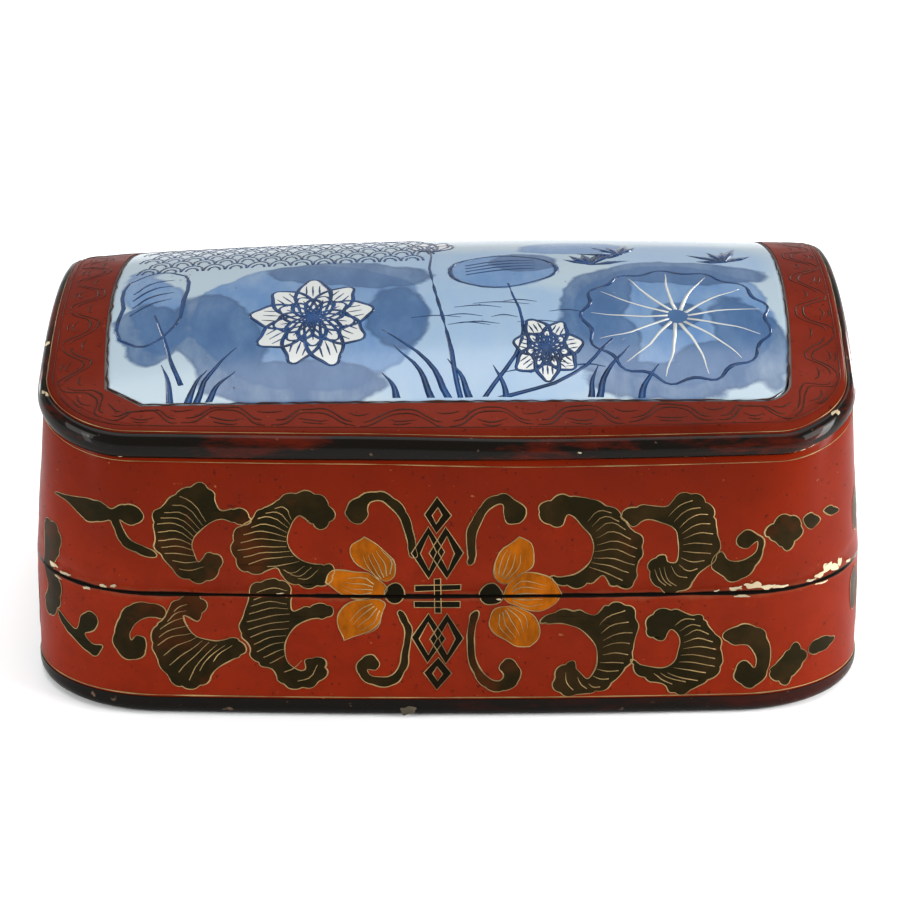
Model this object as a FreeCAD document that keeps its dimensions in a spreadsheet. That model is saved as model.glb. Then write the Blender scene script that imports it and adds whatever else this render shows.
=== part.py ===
import FreeCAD, Part
import os
import re
from math import atan2, cos, hypot, pi, sin, sqrt

import Sketcher
from FreeCAD import Placement, Rotation, Vector

# Red lacquer box for an ink stone and an ink stick. The plan is a rectangle with
# gently bowed sides and rounded corners. The domed lid lifts off a locating neck and
# carries a curved porcelain panel. +X is to the right, +Y to the back and +Z up; the
# origin is the middle of the underside. All sizes are in millimetres.

SIZES = (
    # walls
    ("box_width", 202, "left to right over the walls"),
    ("box_depth", 148, "front to back over the walls"),
    ("front_bow_radius", 1300, "plan radius of the front and the back"),
    ("side_bow_radius", 4000, "plan radius of the two ends"),
    ("corner_radius", 32, "plan radius of the corners"),
    ("wall_thickness", 7.2, "bent wood of the base with its lacquer"),
    ("board_thickness", 4.8, "bottom board"),
    ("board_stand_out", 0.3, "bottom board proud of the wall"),
    ("foot_round", 3.2, "rounded lower edge of the bottom board"),
    ("base_height", 31.8, "underside to the seam"),
    ("seam_bevel", 0.4, "worn edges each side of the seam"),
    ("glue_line", 0.05, "space between glued faces"),
    # neck that locates the lid
    ("lip_thickness", 2.4, "neck"),
    ("lip_height", 6, "neck above the seam"),
    ("lip_bevel", 0.8, "lead-in on the top edges of the neck"),
    ("lip_clearance", 0.35, "running gap between the neck and the lid"),
    ("lid_lean", 3.1, "how far the lid wall leans in, from the seam to the crown edge"),
    # crown of the lid
    ("crown_edge_height", 69, "crown surface over the middle of the front wall"),
    ("crown_rise_left", 13, "crest above the crown edge at the left end"),
    ("crown_rise_middle", 17, "crest above the crown edge in the middle"),
    ("crown_rise_right", 16, "crest above the crown edge at the right end"),
    ("crown_back_drop", 3.2, "back edge of the crown lower than the front, at the left end"),
    ("crown_lift", 1, "crown edge higher over the middle than towards the ends"),
    ("crown_thickness", 6, "crown over the walls, measured straight down"),
    ("crown_shoulder", 1.2, "how far the crown drops inside the lid wall"),
    ("form_margin", 6, "how far the crown forms run past the walls"),
    # moulding round the rim
    ("bead_stand_out", 0.7, "moulding proud of the wall"),
    ("bead_stand_up", 0.5, "moulding proud of the crown"),
    ("bead_seat", 2.4, "width of the wall's top that carries the moulding"),
    ("bead_bevel", 1.9, "outer edges of the moulding"),
    ("bead_inner_bevel", 0.7, "inner edge of the moulding"),
    # porcelain panel and its bed
    ("end_border", 17.5, "walls' outer face to the panel, at the middle of the ends"),
    ("side_border", 14.3, "walls' outer face to the panel, at the front and the back"),
    ("panel_front_radius", 3000, "plan radius of the front and back edges"),
    ("panel_end_radius", 700, "plan radius of the two end edges"),
    ("panel_corner_radius", 7, "ground corners"),
    ("panel_cut_length", 12, "cut front left corner, along the front"),
    ("panel_cut_width", 9.7, "cut front left corner, along the end"),
    ("panel_thickness", 3.6, "body of the vessel that it was cut from"),
    ("panel_bevel", 0.5, "ground upper edge"),
    ("putty_gap", 0.6, "joint round the panel"),
    ("putty_bed", 0.6, "bed under the panel"),
    ("putty_sink", 0.25, "joint below the panel's face"),
    ("ledge_width", 5, "rebate that carries the panel"),
    ("opening_corner_radius", 4, "corners of the opening inside the rebate"),
    ("backing_thickness", 2.4, "board behind the panel"),
    ("lining_thickness", 0.6, "cloth on the bottom and in the crown"),
    # tray
    ("tray_height", 24, "tray"),
    ("tray_clearance", 0.5, "gap between the tray and the neck"),
    ("tray_bevel", 0.7, "eased top edge of the tray"),
    ("tray_floor", 4, "wood under the stone's well"),
    ("well_clearance", 0.6, "gap between a well and what lies in it"),
    ("pad_thickness", 1.2, "silk pads under the stone and the stick"),
    ("notch_reach", 9, "finger notch past the side of its well"),
    ("stone_notch_width", 26, "finger notch of the stone"),
    ("stone_notch_depth", 12, "finger notch of the stone"),
    ("stick_notch_width", 24, "finger notch of the stick"),
    ("notch_corner", 4, "corners of the finger notches"),
    # bamboo pegs of the bottom board
    ("board_peg_width", 2.4, "square pegs"),
    ("board_peg_length", 15, "square pegs"),
    ("board_ground", 0.8, "lacquer ground over the pegs' ends"),
    ("board_peg_clearance", 0.04, "gap on each side of a peg"),
    ("front_peg_place", 42, "pegs of the front and back, from the middle"),
    ("end_peg_place", 26, "pegs of the ends, from the middle"),
    # ink stone
    ("stone_length", 110, "left to right"),
    ("stone_width", 80, "front to back"),
    ("stone_height", 22, "ink stone"),
    ("stone_corner", 7, "plan corners"),
    ("stone_margin", 21, "left end of the stone, from the walls' outer face"),
    ("stone_edge", 1.2, "rounded upper edge"),
    ("stone_rim", 6, "rim round the face"),
    ("face_sink", 1.8, "grinding face below the rim"),
    ("face_fall", 1.2, "fall of the grinding face towards the pool"),
    ("pool_length", 26, "pool, from the rim to the brow"),
    ("pool_depth", 9, "pool below the rim"),
    # ink stick
    ("stick_length", 98, "front to back"),
    ("stick_width", 23, "left to right"),
    ("stick_height", 11, "ink stick"),
    ("stick_corner", 2.5, "plan corners"),
    ("stick_margin", 27.5, "right side of the stick, from the walls' outer face"),
    ("stick_edge", 0.8, "eased long and end edges"),
    ("stick_border", 2.2, "raised border of the stick's face"),
    ("stick_relief", 0.6, "depth of the stick's face"),
    ("stick_well_depth", 8, "well of the stick"),
)

DERIVED = (
    ("half_width", "=box_width / 2", "walls, from the middle"),
    ("half_depth", "=box_depth / 2", "walls, from the middle"),
    ("panel_length", "=box_width - 2 * end_border", "panel over its bowed ends"),
    ("panel_width", "=box_depth - 2 * side_border", "panel over its bowed sides"),
    ("stone_place", "=stone_margin + stone_length / 2 - half_width",
     "middle of the stone"),
    ("stick_place", "=half_width - stick_margin - stick_width / 2",
     "middle of the stick"),
    ("lip_inset", "=wall_thickness + glue_line", "outer face of the neck"),
    ("lip_inner_inset", "=lip_inset + lip_thickness", "inner face of the neck"),
    ("lid_inner_inset", "=lip_inset - lip_clearance", "inner face of the lid wall"),
    ("tray_inset", "=lip_inner_inset + tray_clearance", "outer face of the tray"),
    ("bead_inset", "=lid_lean - bead_stand_out", "outer face of the moulding"),
    ("bead_inner_inset", "=lid_lean + bead_seat", "inner face of the moulding"),
    ("crown_inset", "=bead_inner_inset + glue_line", "edge of the crown frame"),
    ("tray_seat", "=board_thickness + lining_thickness", "underside of the tray"),
    ("tray_top", "=tray_seat + tray_height", "top of the tray"),
    ("stone_pad_seat", "=tray_seat + tray_floor", "floor of the stone's well"),
    ("stone_seat", "=stone_pad_seat + pad_thickness", "underside of the stone"),
    ("stone_top", "=stone_seat + stone_height", "rim of the stone"),
    ("stick_pad_seat", "=tray_top - stick_well_depth", "floor of the stick's well"),
    ("stick_seat", "=stick_pad_seat + pad_thickness", "underside of the stick"),
    ("stick_top", "=stick_seat + stick_height", "top of the stick"),
    ("stone_well_depth", "=tray_height - tray_floor", "well of the stone"),
    ("panel_bed_drop", "=panel_thickness + putty_bed", "rebate below the crown"),
    ("vault_rise", "=min(crown_rise_left; crown_rise_middle; crown_rise_right)",
     "crest of the plain arch under the crown"),
    ("vault_drop", "=crown_thickness + crown_shoulder", "plain arch below the crown"),
    ("vault_back_drop", "=crown_back_drop / 2",
     "back edge of the plain arch lower than its front"),
    ("form_half_width", "=half_width + form_margin", "end stations of the forms"),
    ("form_half_depth", "=half_depth + form_margin", "long edges of the forms"),
    ("blank_top", "=crown_edge_height + crown_rise_left + crown_rise_middle"
                  " + crown_rise_right", "height of uncut blanks, above any crest"),
    ("lid_lean_at_blank", "=lid_lean * (blank_top - base_height)"
                          " / (crown_edge_height - base_height)",
     "lean of the lid wall at the top of its blank"),
    ("arch_left", "=(crown_rise_left ^ 2 + half_depth ^ 2) / (2 * crown_rise_left)",
     "radius of the crown at the left end"),
    ("arch_middle", "=(crown_rise_middle ^ 2 + half_depth ^ 2)"
                    " / (2 * crown_rise_middle)",
     "radius of the crown in the middle"),
    ("arch_right", "=(crown_rise_right ^ 2 + half_depth ^ 2) / (2 * crown_rise_right)",
     "radius of the crown at the right end"),
    ("arch_vault", "=(vault_rise ^ 2 + half_depth ^ 2) / (2 * vault_rise)",
     "radius of the plain arch under the crown"),
    ("front_peg_line", "=half_depth - wall_thickness / 2 - front_bow_radius"
                       " + sqrt(front_bow_radius ^ 2 - front_peg_place ^ 2)",
     "pegs of the front and back, in the middle of the wall"),
    ("end_peg_line", "=half_width - wall_thickness / 2 - side_bow_radius"
                     " + sqrt(side_bow_radius ^ 2 - end_peg_place ^ 2)",
     "pegs of the ends, in the middle of the wall"),
)

ALIASES = {alias for alias, _, _ in SIZES + DERIVED}

doc = FreeCAD.newDocument("InkStoneBox")
sheet = doc.addObject("Spreadsheet::Sheet", "Sizes")


def fill_sheet():
    """Write every size with its alias and what it means."""
    for row, (alias, number, meaning) in enumerate(SIZES + DERIVED, start=1):
        sheet.set(f"A{row}", meaning)
        sheet.set(f"B{row}", str(number))
        sheet.setAlias(f"B{row}", alias)
    doc.recompute()


def size(expression):
    """Value now of an expression in the sheet's aliases."""
    return float(sheet.evalExpression(expression))


def bind(item, target, expression):
    """Bind a property of an object to an expression in the sheet's aliases."""
    item.setExpression(target, in_sheet(expression))


def in_sheet(expression):
    """The same expression with the sheet's name before each alias."""
    return re.sub(r"[a-z_]+", lambda word: f"{sheet.Name}.{word[0]}"
                  if word[0] in ALIASES else word[0], expression)


# ---------------------------------------------------------------- sketches

ARC_START, ARC_END, CENTRE = range(1, 4)
V_AXIS, H_AXIS = range(-2, 0)
ORIGIN = H_AXIS


def name_last(sketch, name, expression):
    """Name the sketch's last constraint and bind it."""
    sketch.renameConstraint(sketch.ConstraintCount - 1, name)
    bind(sketch, f"Constraints.{name}", expression)


def add_arc(sketch, centre, radius, start, end):
    """Arc, anticlockwise between two angles in radians."""
    circle = Part.Circle(Vector(*centre, 0), Vector(0, 0, 1), radius)
    return sketch.addGeometry(Part.ArcOfCircle(circle, start, end))


def draw_bowed_outline(sketch, length, width, front_radius, end_radius, corner, tag):
    """Eight tangent arcs: two long bows, two end bows and four equal corners."""
    half_x, half_y = size(length) / 2, size(width) / 2
    front, end, round_ = size(front_radius), size(end_radius), size(corner)
    front_centre = front - half_y
    end_centre = end - half_x
    # the corner's centre lies on a circle round the centre of each bow
    a = front - round_
    b = end - round_
    apart = hypot(front_centre, end_centre)
    along = (a * a - b * b + apart * apart) / (2 * apart)
    across = sqrt(a * a - along * along)
    ux, uy = -end_centre / apart, -front_centre / apart
    corner_x = along * ux - across * uy
    corner_y = front_centre + along * uy + across * ux
    to_front = atan2(corner_y - front_centre, corner_x)
    to_end = atan2(corner_y, corner_x + end_centre)
    x, y = corner_x, -corner_y
    arcs = (
        ((0, front_centre), front, -pi - to_front, to_front),
        ((x, -y), round_, to_front, to_end),
        ((-end_centre, 0), end, to_end, -to_end),
        ((x, y), round_, -to_end, -to_front),
        ((0, -front_centre), front, -to_front, pi + to_front),
        ((-x, y), round_, pi + to_front, pi + to_end),
        ((end_centre, 0), end, pi + to_end, pi - to_end),
        ((-x, -y), round_, pi - to_end, pi - to_front),
    )
    first = sketch.GeometryCount
    for arc in arcs:
        add_arc(sketch, *arc)
    rule = sketch.addConstraint
    count = len(arcs)
    for i in range(count):
        following = first + (i + 1) % count
        rule(Sketcher.Constraint("Tangent", first + i, ARC_END, following, ARC_START))
    for one, other in ((0, 4), (2, 6), (1, 3), (1, 5), (1, 7)):
        rule(Sketcher.Constraint("Equal", first + one, first + other))
    for geo, radius, name in ((0, front_radius, "bow"), (2, end_radius, "end"),
                              (1, corner, "corner")):
        rule(Sketcher.Constraint("Radius", first + geo, size(radius)))
        name_last(sketch, f"{tag}_{name}_radius", radius)
    rule(Sketcher.Constraint("PointOnObject", first, CENTRE, V_AXIS))
    rule(Sketcher.Constraint("PointOnObject", first + 2, CENTRE, H_AXIS))
    rule(Sketcher.Constraint("Symmetric", first, CENTRE, first + 4, CENTRE, ORIGIN, 1))
    rule(Sketcher.Constraint("Symmetric", first + 2, CENTRE, first + 6, CENTRE,
                             ORIGIN, 1))
    rule(Sketcher.Constraint("DistanceY", ORIGIN, 1, first, CENTRE, front_centre))
    name_last(sketch, f"{tag}_bow_centre", f"{front_radius} - ({width}) / 2")
    rule(Sketcher.Constraint("DistanceX", ORIGIN, 1, first + 6, CENTRE, end_centre))
    name_last(sketch, f"{tag}_end_centre", f"{end_radius} - ({length}) / 2")


def draw_wall_line(sketch, inset, tag="wall"):
    """The box's outline, moved in by an inset all round."""
    draw_bowed_outline(sketch, f"box_width - 2 * ( {inset} )",
                       f"box_depth - 2 * ( {inset} )",
                       f"front_bow_radius - ( {inset} )",
                       f"side_bow_radius - ( {inset} )",
                       f"corner_radius - ( {inset} )", tag)


def draw_panel_line(sketch, inset, corner, tag="panel"):
    """The porcelain's outline, moved in by an inset all round."""
    draw_bowed_outline(sketch, f"panel_length - 2 * ( {inset} )",
                       f"panel_width - 2 * ( {inset} )",
                       f"panel_front_radius - ( {inset} )",
                       f"panel_end_radius - ( {inset} )", corner, tag)


def draw_rounded_rectangle(sketch, length, width, corner, tag="block"):
    """Rounded rectangle about the sketch's origin."""
    x, y, r = size(length) / 2, size(width) / 2, size(corner)
    first = sketch.GeometryCount
    sides = (((-x + r, -y), (x - r, -y)), ((x, -y + r), (x, y - r)),
             ((x - r, y), (-x + r, y)), ((-x, y - r), (-x, -y + r)))
    corners = (((x - r, -y + r), -pi / 2), ((x - r, y - r), 0),
               ((-x + r, y - r), pi / 2), ((-x + r, -y + r), pi))
    for (start, end), (centre, angle) in zip(sides, corners):
        line = Part.LineSegment(Vector(*start, 0), Vector(*end, 0))
        sketch.addGeometry(line)
        add_arc(sketch, centre, r, angle, angle + pi / 2)
    rule = sketch.addConstraint
    pieces = 8
    for i in range(pieces):
        following = first + (i + 1) % pieces
        rule(Sketcher.Constraint("Tangent", first + i, ARC_END, following, ARC_START))
    rule(Sketcher.Constraint("Horizontal", first))
    rule(Sketcher.Constraint("Vertical", first + 2))
    rule(Sketcher.Constraint("Horizontal", first + 4))
    rule(Sketcher.Constraint("Vertical", first + 6))
    for other in (3, 5, 7):
        rule(Sketcher.Constraint("Equal", first + 1, first + other))
    rule(Sketcher.Constraint("Radius", first + 1, r))
    name_last(sketch, f"{tag}_corner", corner)
    rule(Sketcher.Constraint("Symmetric", first + 1, CENTRE, first + 5, CENTRE,
                             ORIGIN, 1))
    rule(Sketcher.Constraint("DistanceX", first + 6, 1, first + 2, 1, 2 * x))
    name_last(sketch, f"{tag}_length", length)
    rule(Sketcher.Constraint("DistanceY", first, 1, first + 4, 1, 2 * y))
    name_last(sketch, f"{tag}_width", width)


def draw_square(sketch, side, x, y, x_side, y_side, tag):
    """Square at x, y from the origin, on the named sides of the two axes."""
    half = size(side) / 2
    place = Vector(x_side * size(x), y_side * size(y), 0)
    corners = [place + Vector(i * half, j * half, 0)
               for i, j in ((-1, -1), (1, -1), (1, 1), (-1, 1))]
    first = sketch.GeometryCount
    for start, end in zip(corners, corners[1:] + corners[:1]):
        sketch.addGeometry(Part.LineSegment(start, end))
    middle = sketch.addGeometry(Part.Point(place), True)
    rule = sketch.addConstraint
    for i in range(len(corners)):
        rule(Sketcher.Constraint("Coincident", first + i, 2,
                                 first + (i + 1) % len(corners), 1))
    rule(Sketcher.Constraint("Horizontal", first))
    rule(Sketcher.Constraint("Vertical", first + 1))
    rule(Sketcher.Constraint("Horizontal", first + 2))
    rule(Sketcher.Constraint("Vertical", first + 3))
    rule(Sketcher.Constraint("Equal", first, first + 1))
    rule(Sketcher.Constraint("Symmetric", first, 1, first + 2, 1, middle, 1))
    rule(Sketcher.Constraint("DistanceX", first, 1, first, 2, size(side)))
    name_last(sketch, f"{tag}_side", side)
    for kind, sign, distance in (("DistanceX", x_side, x), ("DistanceY", y_side, y)):
        ends = (ORIGIN, 1, middle, 1) if sign > 0 else (middle, 1, ORIGIN, 1)
        rule(Sketcher.Constraint(kind, *ends, size(distance)))
        name_last(sketch, f"{tag}_{kind}", distance)


def draw_arch(sketch, rise, radius, drop, back_drop="0"):
    """Section of the crown: an arch on straight sides that stand on the ground."""
    side = (f"crown_edge_height + {rise} - {radius}"
            f" + sqrt( {radius} ^ 2 - form_half_depth ^ 2 ) - ( {drop} )")
    front = f"{side} + {back_drop} * form_margin / box_depth"
    back = f"{side} - {back_drop} * ( form_margin + box_depth ) / box_depth"
    half, r = size("form_half_depth"), size(radius)
    front_top, back_top = size(front), size(back)
    slope = atan2(back_top - front_top, 2 * half)
    chord = half / cos(slope)
    below = sqrt(r * r - chord * chord)
    centre = (below * sin(slope), (front_top + back_top) / 2 - below * cos(slope))
    swing = atan2(below, chord)
    add_arc(sketch, centre, r, slope + swing, slope + pi - swing)
    points = [Vector(-half, front_top, 0), Vector(-half, 0, 0),
              Vector(half, 0, 0), Vector(half, back_top, 0)]
    for start, end in zip(points, points[1:]):
        sketch.addGeometry(Part.LineSegment(start, end))
    rule = sketch.addConstraint
    rule(Sketcher.Constraint("Coincident", 0, ARC_END, 1, ARC_START))
    rule(Sketcher.Constraint("Coincident", 1, ARC_END, 2, ARC_START))
    rule(Sketcher.Constraint("Coincident", 2, ARC_END, 3, ARC_START))
    rule(Sketcher.Constraint("Coincident", 3, ARC_END, 0, ARC_START))
    rule(Sketcher.Constraint("Vertical", 1))
    rule(Sketcher.Constraint("Vertical", 3))
    rule(Sketcher.Constraint("Symmetric", 2, ARC_START, 2, ARC_END, V_AXIS))
    rule(Sketcher.Constraint("PointOnObject", 2, ARC_START, H_AXIS))
    rule(Sketcher.Constraint("DistanceX", 2, ARC_START, 2, ARC_END, 2 * half))
    name_last(sketch, "form_width", "2 * form_half_depth")
    rule(Sketcher.Constraint("DistanceY", 1, ARC_END, 1, ARC_START, front_top))
    name_last(sketch, "front_height", front)
    rule(Sketcher.Constraint("DistanceY", 3, ARC_START, 3, ARC_END, back_top))
    name_last(sketch, "back_height", back)
    rule(Sketcher.Constraint("Radius", 0, r))
    name_last(sketch, "arch_radius", radius)


# ---------------------------------------------------------------- features

ACROSS = Rotation(Vector(0, 1, 0), Vector(0, 0, 1), Vector(1, 0, 0), "XYZ")
ENDWISE = Rotation(Vector(1, 0, 0), Vector(0, 0, 1), Vector(0, -1, 0), "XYZ")
UP, DOWN = Vector(0, 0, 1), Vector(0, 0, -1)
STEEP = pi / 5
LEVEL = 1e-6
FILLET, CHAMFER = "PartDesign::Fillet", "PartDesign::Chamfer"


def new_body(name):
    """Body that becomes one sub-part or the blank of one."""
    body = doc.addObject("PartDesign::Body", name)
    body.Label = name
    return body


def level_sketch(body, name, height, x="0", y="0"):
    """Sketch on the body's own ground plane, lifted to a height."""
    sketch = body.newObject("Sketcher::SketchObject", name)
    plane = next(f for f in body.Origin.OriginFeatures if f.Role == "XY_Plane")
    sketch.AttachmentSupport = [(plane, "")]
    sketch.MapMode = "FlatFace"
    for axis, expression in (("x", x), ("y", y), ("z", height)):
        bind(sketch, f".AttachmentOffset.Base.{axis}", expression)
    return sketch


def free_sketch(name, height):
    """Sketch outside any body, level at a height."""
    sketch = doc.addObject("Sketcher::SketchObject", name)
    bind(sketch, ".Placement.Base.z", height)
    return sketch


def pad(body, sketch, length):
    """Raise a sketch."""
    doc.recompute()
    feature = body.newObject("PartDesign::Pad", f"{sketch.Name}_pad")
    feature.Profile = sketch
    bind(feature, "Length", length)
    doc.recompute()
    return feature


def pocket(body, sketch, depth, upward=False):
    """Cut a sketch down into the body, or up."""
    doc.recompute()
    feature = body.newObject("PartDesign::Pocket", f"{sketch.Name}_pocket")
    feature.Profile = sketch
    feature.Reversed = upward
    bind(feature, "Length", depth)
    doc.recompute()
    return feature


def edges_of(shape, wires):
    """Names of the shape's edges that lie on the given wires."""
    wanted = [edge for wire in wires for edge in wire.Edges]
    return [f"Edge{number}" for number, edge in enumerate(shape.Edges, start=1)
            if any(edge.isSame(other) for other in wanted)]


def faces_facing(shape, direction):
    """Faces whose middle looks roughly along a direction."""
    found = []
    for face in shape.Faces:
        u0, u1, v0, v1 = face.ParameterRange
        normal = face.normalAt((u0 + u1) / 2, (v0 + v1) / 2)
        if normal.getAngle(direction) < STEEP:
            found.append(face)
    return found


def level_edges(shape, height, inner=False):
    """Edges round the flat faces at a height: the outer wire, or the inner ones."""
    wires = []
    for face in shape.Faces:
        box = face.BoundBox
        if box.ZLength < LEVEL and abs(box.ZMin - size(height)) < LEVEL:
            outer = face.OuterWire
            wires += [w for w in face.Wires if w.isSame(outer) != inner]
    return edges_of(shape, wires)


def dress_edges(body, kind, names, reach, name):
    """PartDesign::Fillet or Chamfer on named edges of the body's last feature."""
    last = body.Tip
    feature = body.newObject(kind, name)
    feature.Base = (last, names)
    bind(feature, "Radius" if kind == FILLET else "Size", reach)
    doc.recompute()
    return feature


def prism(name, draw, height="0", top="blank_top"):
    """Upright solid between two heights on an outline drawn by a function."""
    sketch = free_sketch(f"{name}_line", height)
    draw(sketch)
    solid = doc.addObject("Part::Extrusion", f"{name}_prism")
    solid.Base = sketch
    solid.DirMode = "Normal"
    solid.Solid = True
    bind(solid, "LengthFwd", f"{top} - ( {height} )")
    doc.recompute()
    return solid


def crown_form(name, drop):
    """Everything under the crown's surface, moved straight down by a drop."""
    stations = (("left", "-form_half_width", drop, "crown_back_drop"),
                ("middle", "0", f"{drop} - crown_lift", "0"),
                ("right", "form_half_width", drop, "0"))
    sections = []
    for station, place, fall, back_drop in stations:
        sketch = doc.addObject("Sketcher::SketchObject", f"{name}_{station}_arch")
        sketch.Placement = Placement(Vector(), ACROSS)
        bind(sketch, ".Placement.Base.x", place)
        draw_arch(sketch, f"crown_rise_{station}", f"arch_{station}", fall, back_drop)
        sections.append(sketch)
    doc.recompute()
    form = doc.addObject("Part::Loft", f"{name}_form")
    form.Sections = sections
    form.Solid = True
    doc.recompute()
    return form


def vault_form(name, drop):
    """Everything under the plain arch inside the lid, moved straight down by a drop."""
    sketch = doc.addObject("Sketcher::SketchObject", f"{name}_arch")
    sketch.Placement = Placement(Vector(), ACROSS)
    bind(sketch, ".Placement.Base.x", "-form_half_width")
    draw_arch(sketch, "vault_rise", "arch_vault", drop, "vault_back_drop")
    form = doc.addObject("Part::Extrusion", f"{name}_form")
    form.Base = sketch
    form.DirMode = "Normal"
    form.Solid = True
    bind(form, "LengthFwd", "2 * form_half_width")
    doc.recompute()
    return form


def combine(kind, name, first, second):
    """Part::Common or Part::Cut of two objects."""
    result = doc.addObject(kind, name)
    result.Base = first
    result.Tool = second
    doc.recompute()
    return result


def common(name, first, second):
    return combine("Part::Common", name, first, second)


def cut(name, first, second):
    return combine("Part::Cut", name, first, second)


def bevel_edges(name, base, bevels):
    """Part::Chamfer; bevels pairs edge names with a size."""
    result = doc.addObject("Part::Chamfer", name)
    result.Base = base
    result.Edges = [(int(edge[len("Edge"):]), size(reach), size(reach))
                    for names, reach in bevels for edge in names]
    doc.recompute()
    return result


# ---------------------------------------------------------------- base

def make_base_board():
    """Bottom board with a rounded lower edge and blind holes for its pegs."""
    body = new_body("base_board")
    outline = level_sketch(body, "board_line", "0")
    draw_wall_line(outline, "-board_stand_out")
    pad(body, outline, "board_thickness")
    dress_edges(body, FILLET, level_edges(body.Shape, "0"), "foot_round", "board_foot")
    holes = level_sketch(body, "board_peg_holes", "board_ground")
    draw_pegs(holes, "board_peg_width + 2 * board_peg_clearance")
    pocket(body, holes, "board_thickness", upward=True)
    return body


def draw_pegs(sketch, side):
    """Two pegs in each side of the box, in the middle of the wall."""
    for x_side in (-1, 1):
        for y_side in (-1, 1):
            tag = f"{'lr'[x_side > 0]}{'fb'[y_side > 0]}"
            draw_square(sketch, side, "front_peg_place", "front_peg_line",
                        x_side, y_side, f"long_{tag}")
            draw_square(sketch, side, "end_peg_line", "end_peg_place",
                        x_side, y_side, f"end_{tag}")


def make_board_pegs():
    """Bamboo pegs, driven through the board into the wall."""
    pegs = prism("pegs", lambda s: draw_pegs(s, "board_peg_width"),
                 "board_ground", "board_ground + board_peg_length")
    pegs.Label = "board_pegs"
    return pegs


def make_base_wall():
    """Bent wall of the base."""
    body = new_body("base_wall")
    ring = level_sketch(body, "base_wall_lines", "board_thickness")
    draw_wall_line(ring, "0", "outer")
    draw_wall_line(ring, "wall_thickness", "inner")
    pad(body, ring, "base_height - board_thickness")
    dress_edges(body, CHAMFER, level_edges(body.Shape, "base_height"), "seam_bevel",
                "base_seam_edge")
    holes = level_sketch(body, "base_wall_peg_holes", "board_thickness")
    draw_pegs(holes, "board_peg_width + 2 * board_peg_clearance")
    pocket(body, holes, "board_ground + board_peg_length - board_thickness",
           upward=True)
    return body


def make_base_lip():
    """Locating neck inside the base wall, standing above the seam."""
    body = new_body("base_lip")
    ring = level_sketch(body, "lip_lines", "board_thickness")
    draw_wall_line(ring, "lip_inset", "outer")
    draw_wall_line(ring, "lip_inner_inset", "inner")
    pad(body, ring, "base_height + lip_height - board_thickness")
    top = "base_height + lip_height"
    names = level_edges(body.Shape, top) + level_edges(body.Shape, top, inner=True)
    dress_edges(body, CHAMFER, names, "lip_bevel", "lip_lead_in")
    return body


def make_base_lining():
    """Cloth on the bottom board, inside the neck."""
    body = new_body("base_lining")
    outline = level_sketch(body, "base_lining_line", "board_thickness")
    draw_wall_line(outline, "lip_inner_inset + glue_line")
    pad(body, outline, "lining_thickness")
    return body


# ---------------------------------------------------------------- lid

def make_lid_wall(under_crown):
    """Bent wall of the lid: its top edge follows the arch of the crown."""
    blank = new_body("lid_wall_blank")
    foot = level_sketch(blank, "lid_wall_foot", "base_height")
    draw_wall_line(foot, "0")
    head = level_sketch(blank, "lid_wall_head", "blank_top")
    draw_wall_line(head, "lid_lean_at_blank")
    doc.recompute()
    loft = blank.newObject("PartDesign::AdditiveLoft", "lid_wall_loft")
    loft.Profile = foot
    loft.Sections = [head]
    loft.Ruled = True
    doc.recompute()
    hollow = level_sketch(blank, "lid_wall_hollow", "blank_top")
    draw_wall_line(hollow, "lid_inner_inset")
    pocket(blank, hollow, "blank_top - base_height")
    dress_edges(blank, CHAMFER, level_edges(blank.Shape, "base_height"), "seam_bevel",
                "lid_seam_edge")
    return common("lid_wall", blank, under_crown)


def make_rim_bead(under_crown):
    """Rounded moulding on the outer part of the wall's top, round the crown frame."""
    outside = prism("bead_outer", lambda s: draw_wall_line(s, "bead_inset"))
    inside = prism("bead_inner", lambda s: draw_wall_line(s, "bead_inner_inset"))
    over = common("bead_over", outside, crown_form("bead_top", "-bead_stand_up"))
    ring = cut("bead_ring", over, inside)
    square = cut("bead_square", ring, under_crown)
    top = faces_facing(square.Shape, UP)
    bottom = faces_facing(square.Shape, DOWN)
    outer = edges_of(square.Shape, [face.OuterWire for face in top + bottom])
    inner = edges_of(square.Shape, [wire for face in top for wire in face.Wires
                                    if not wire.isSame(face.OuterWire)])
    return bevel_edges("rim_bead", square,
                       ((outer, "bead_bevel"), (inner, "bead_inner_bevel")))


def panel_prism(name, inset, corner):
    """Upright solid on the porcelain's outline, with its cut front left corner."""
    whole = prism(name, lambda s: draw_panel_line(s, inset, corner))
    corner = prism(f"{name}_corner", lambda s: draw_corner_cut(s, inset))
    return cut(f"{name}_plan", whole, corner)


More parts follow.
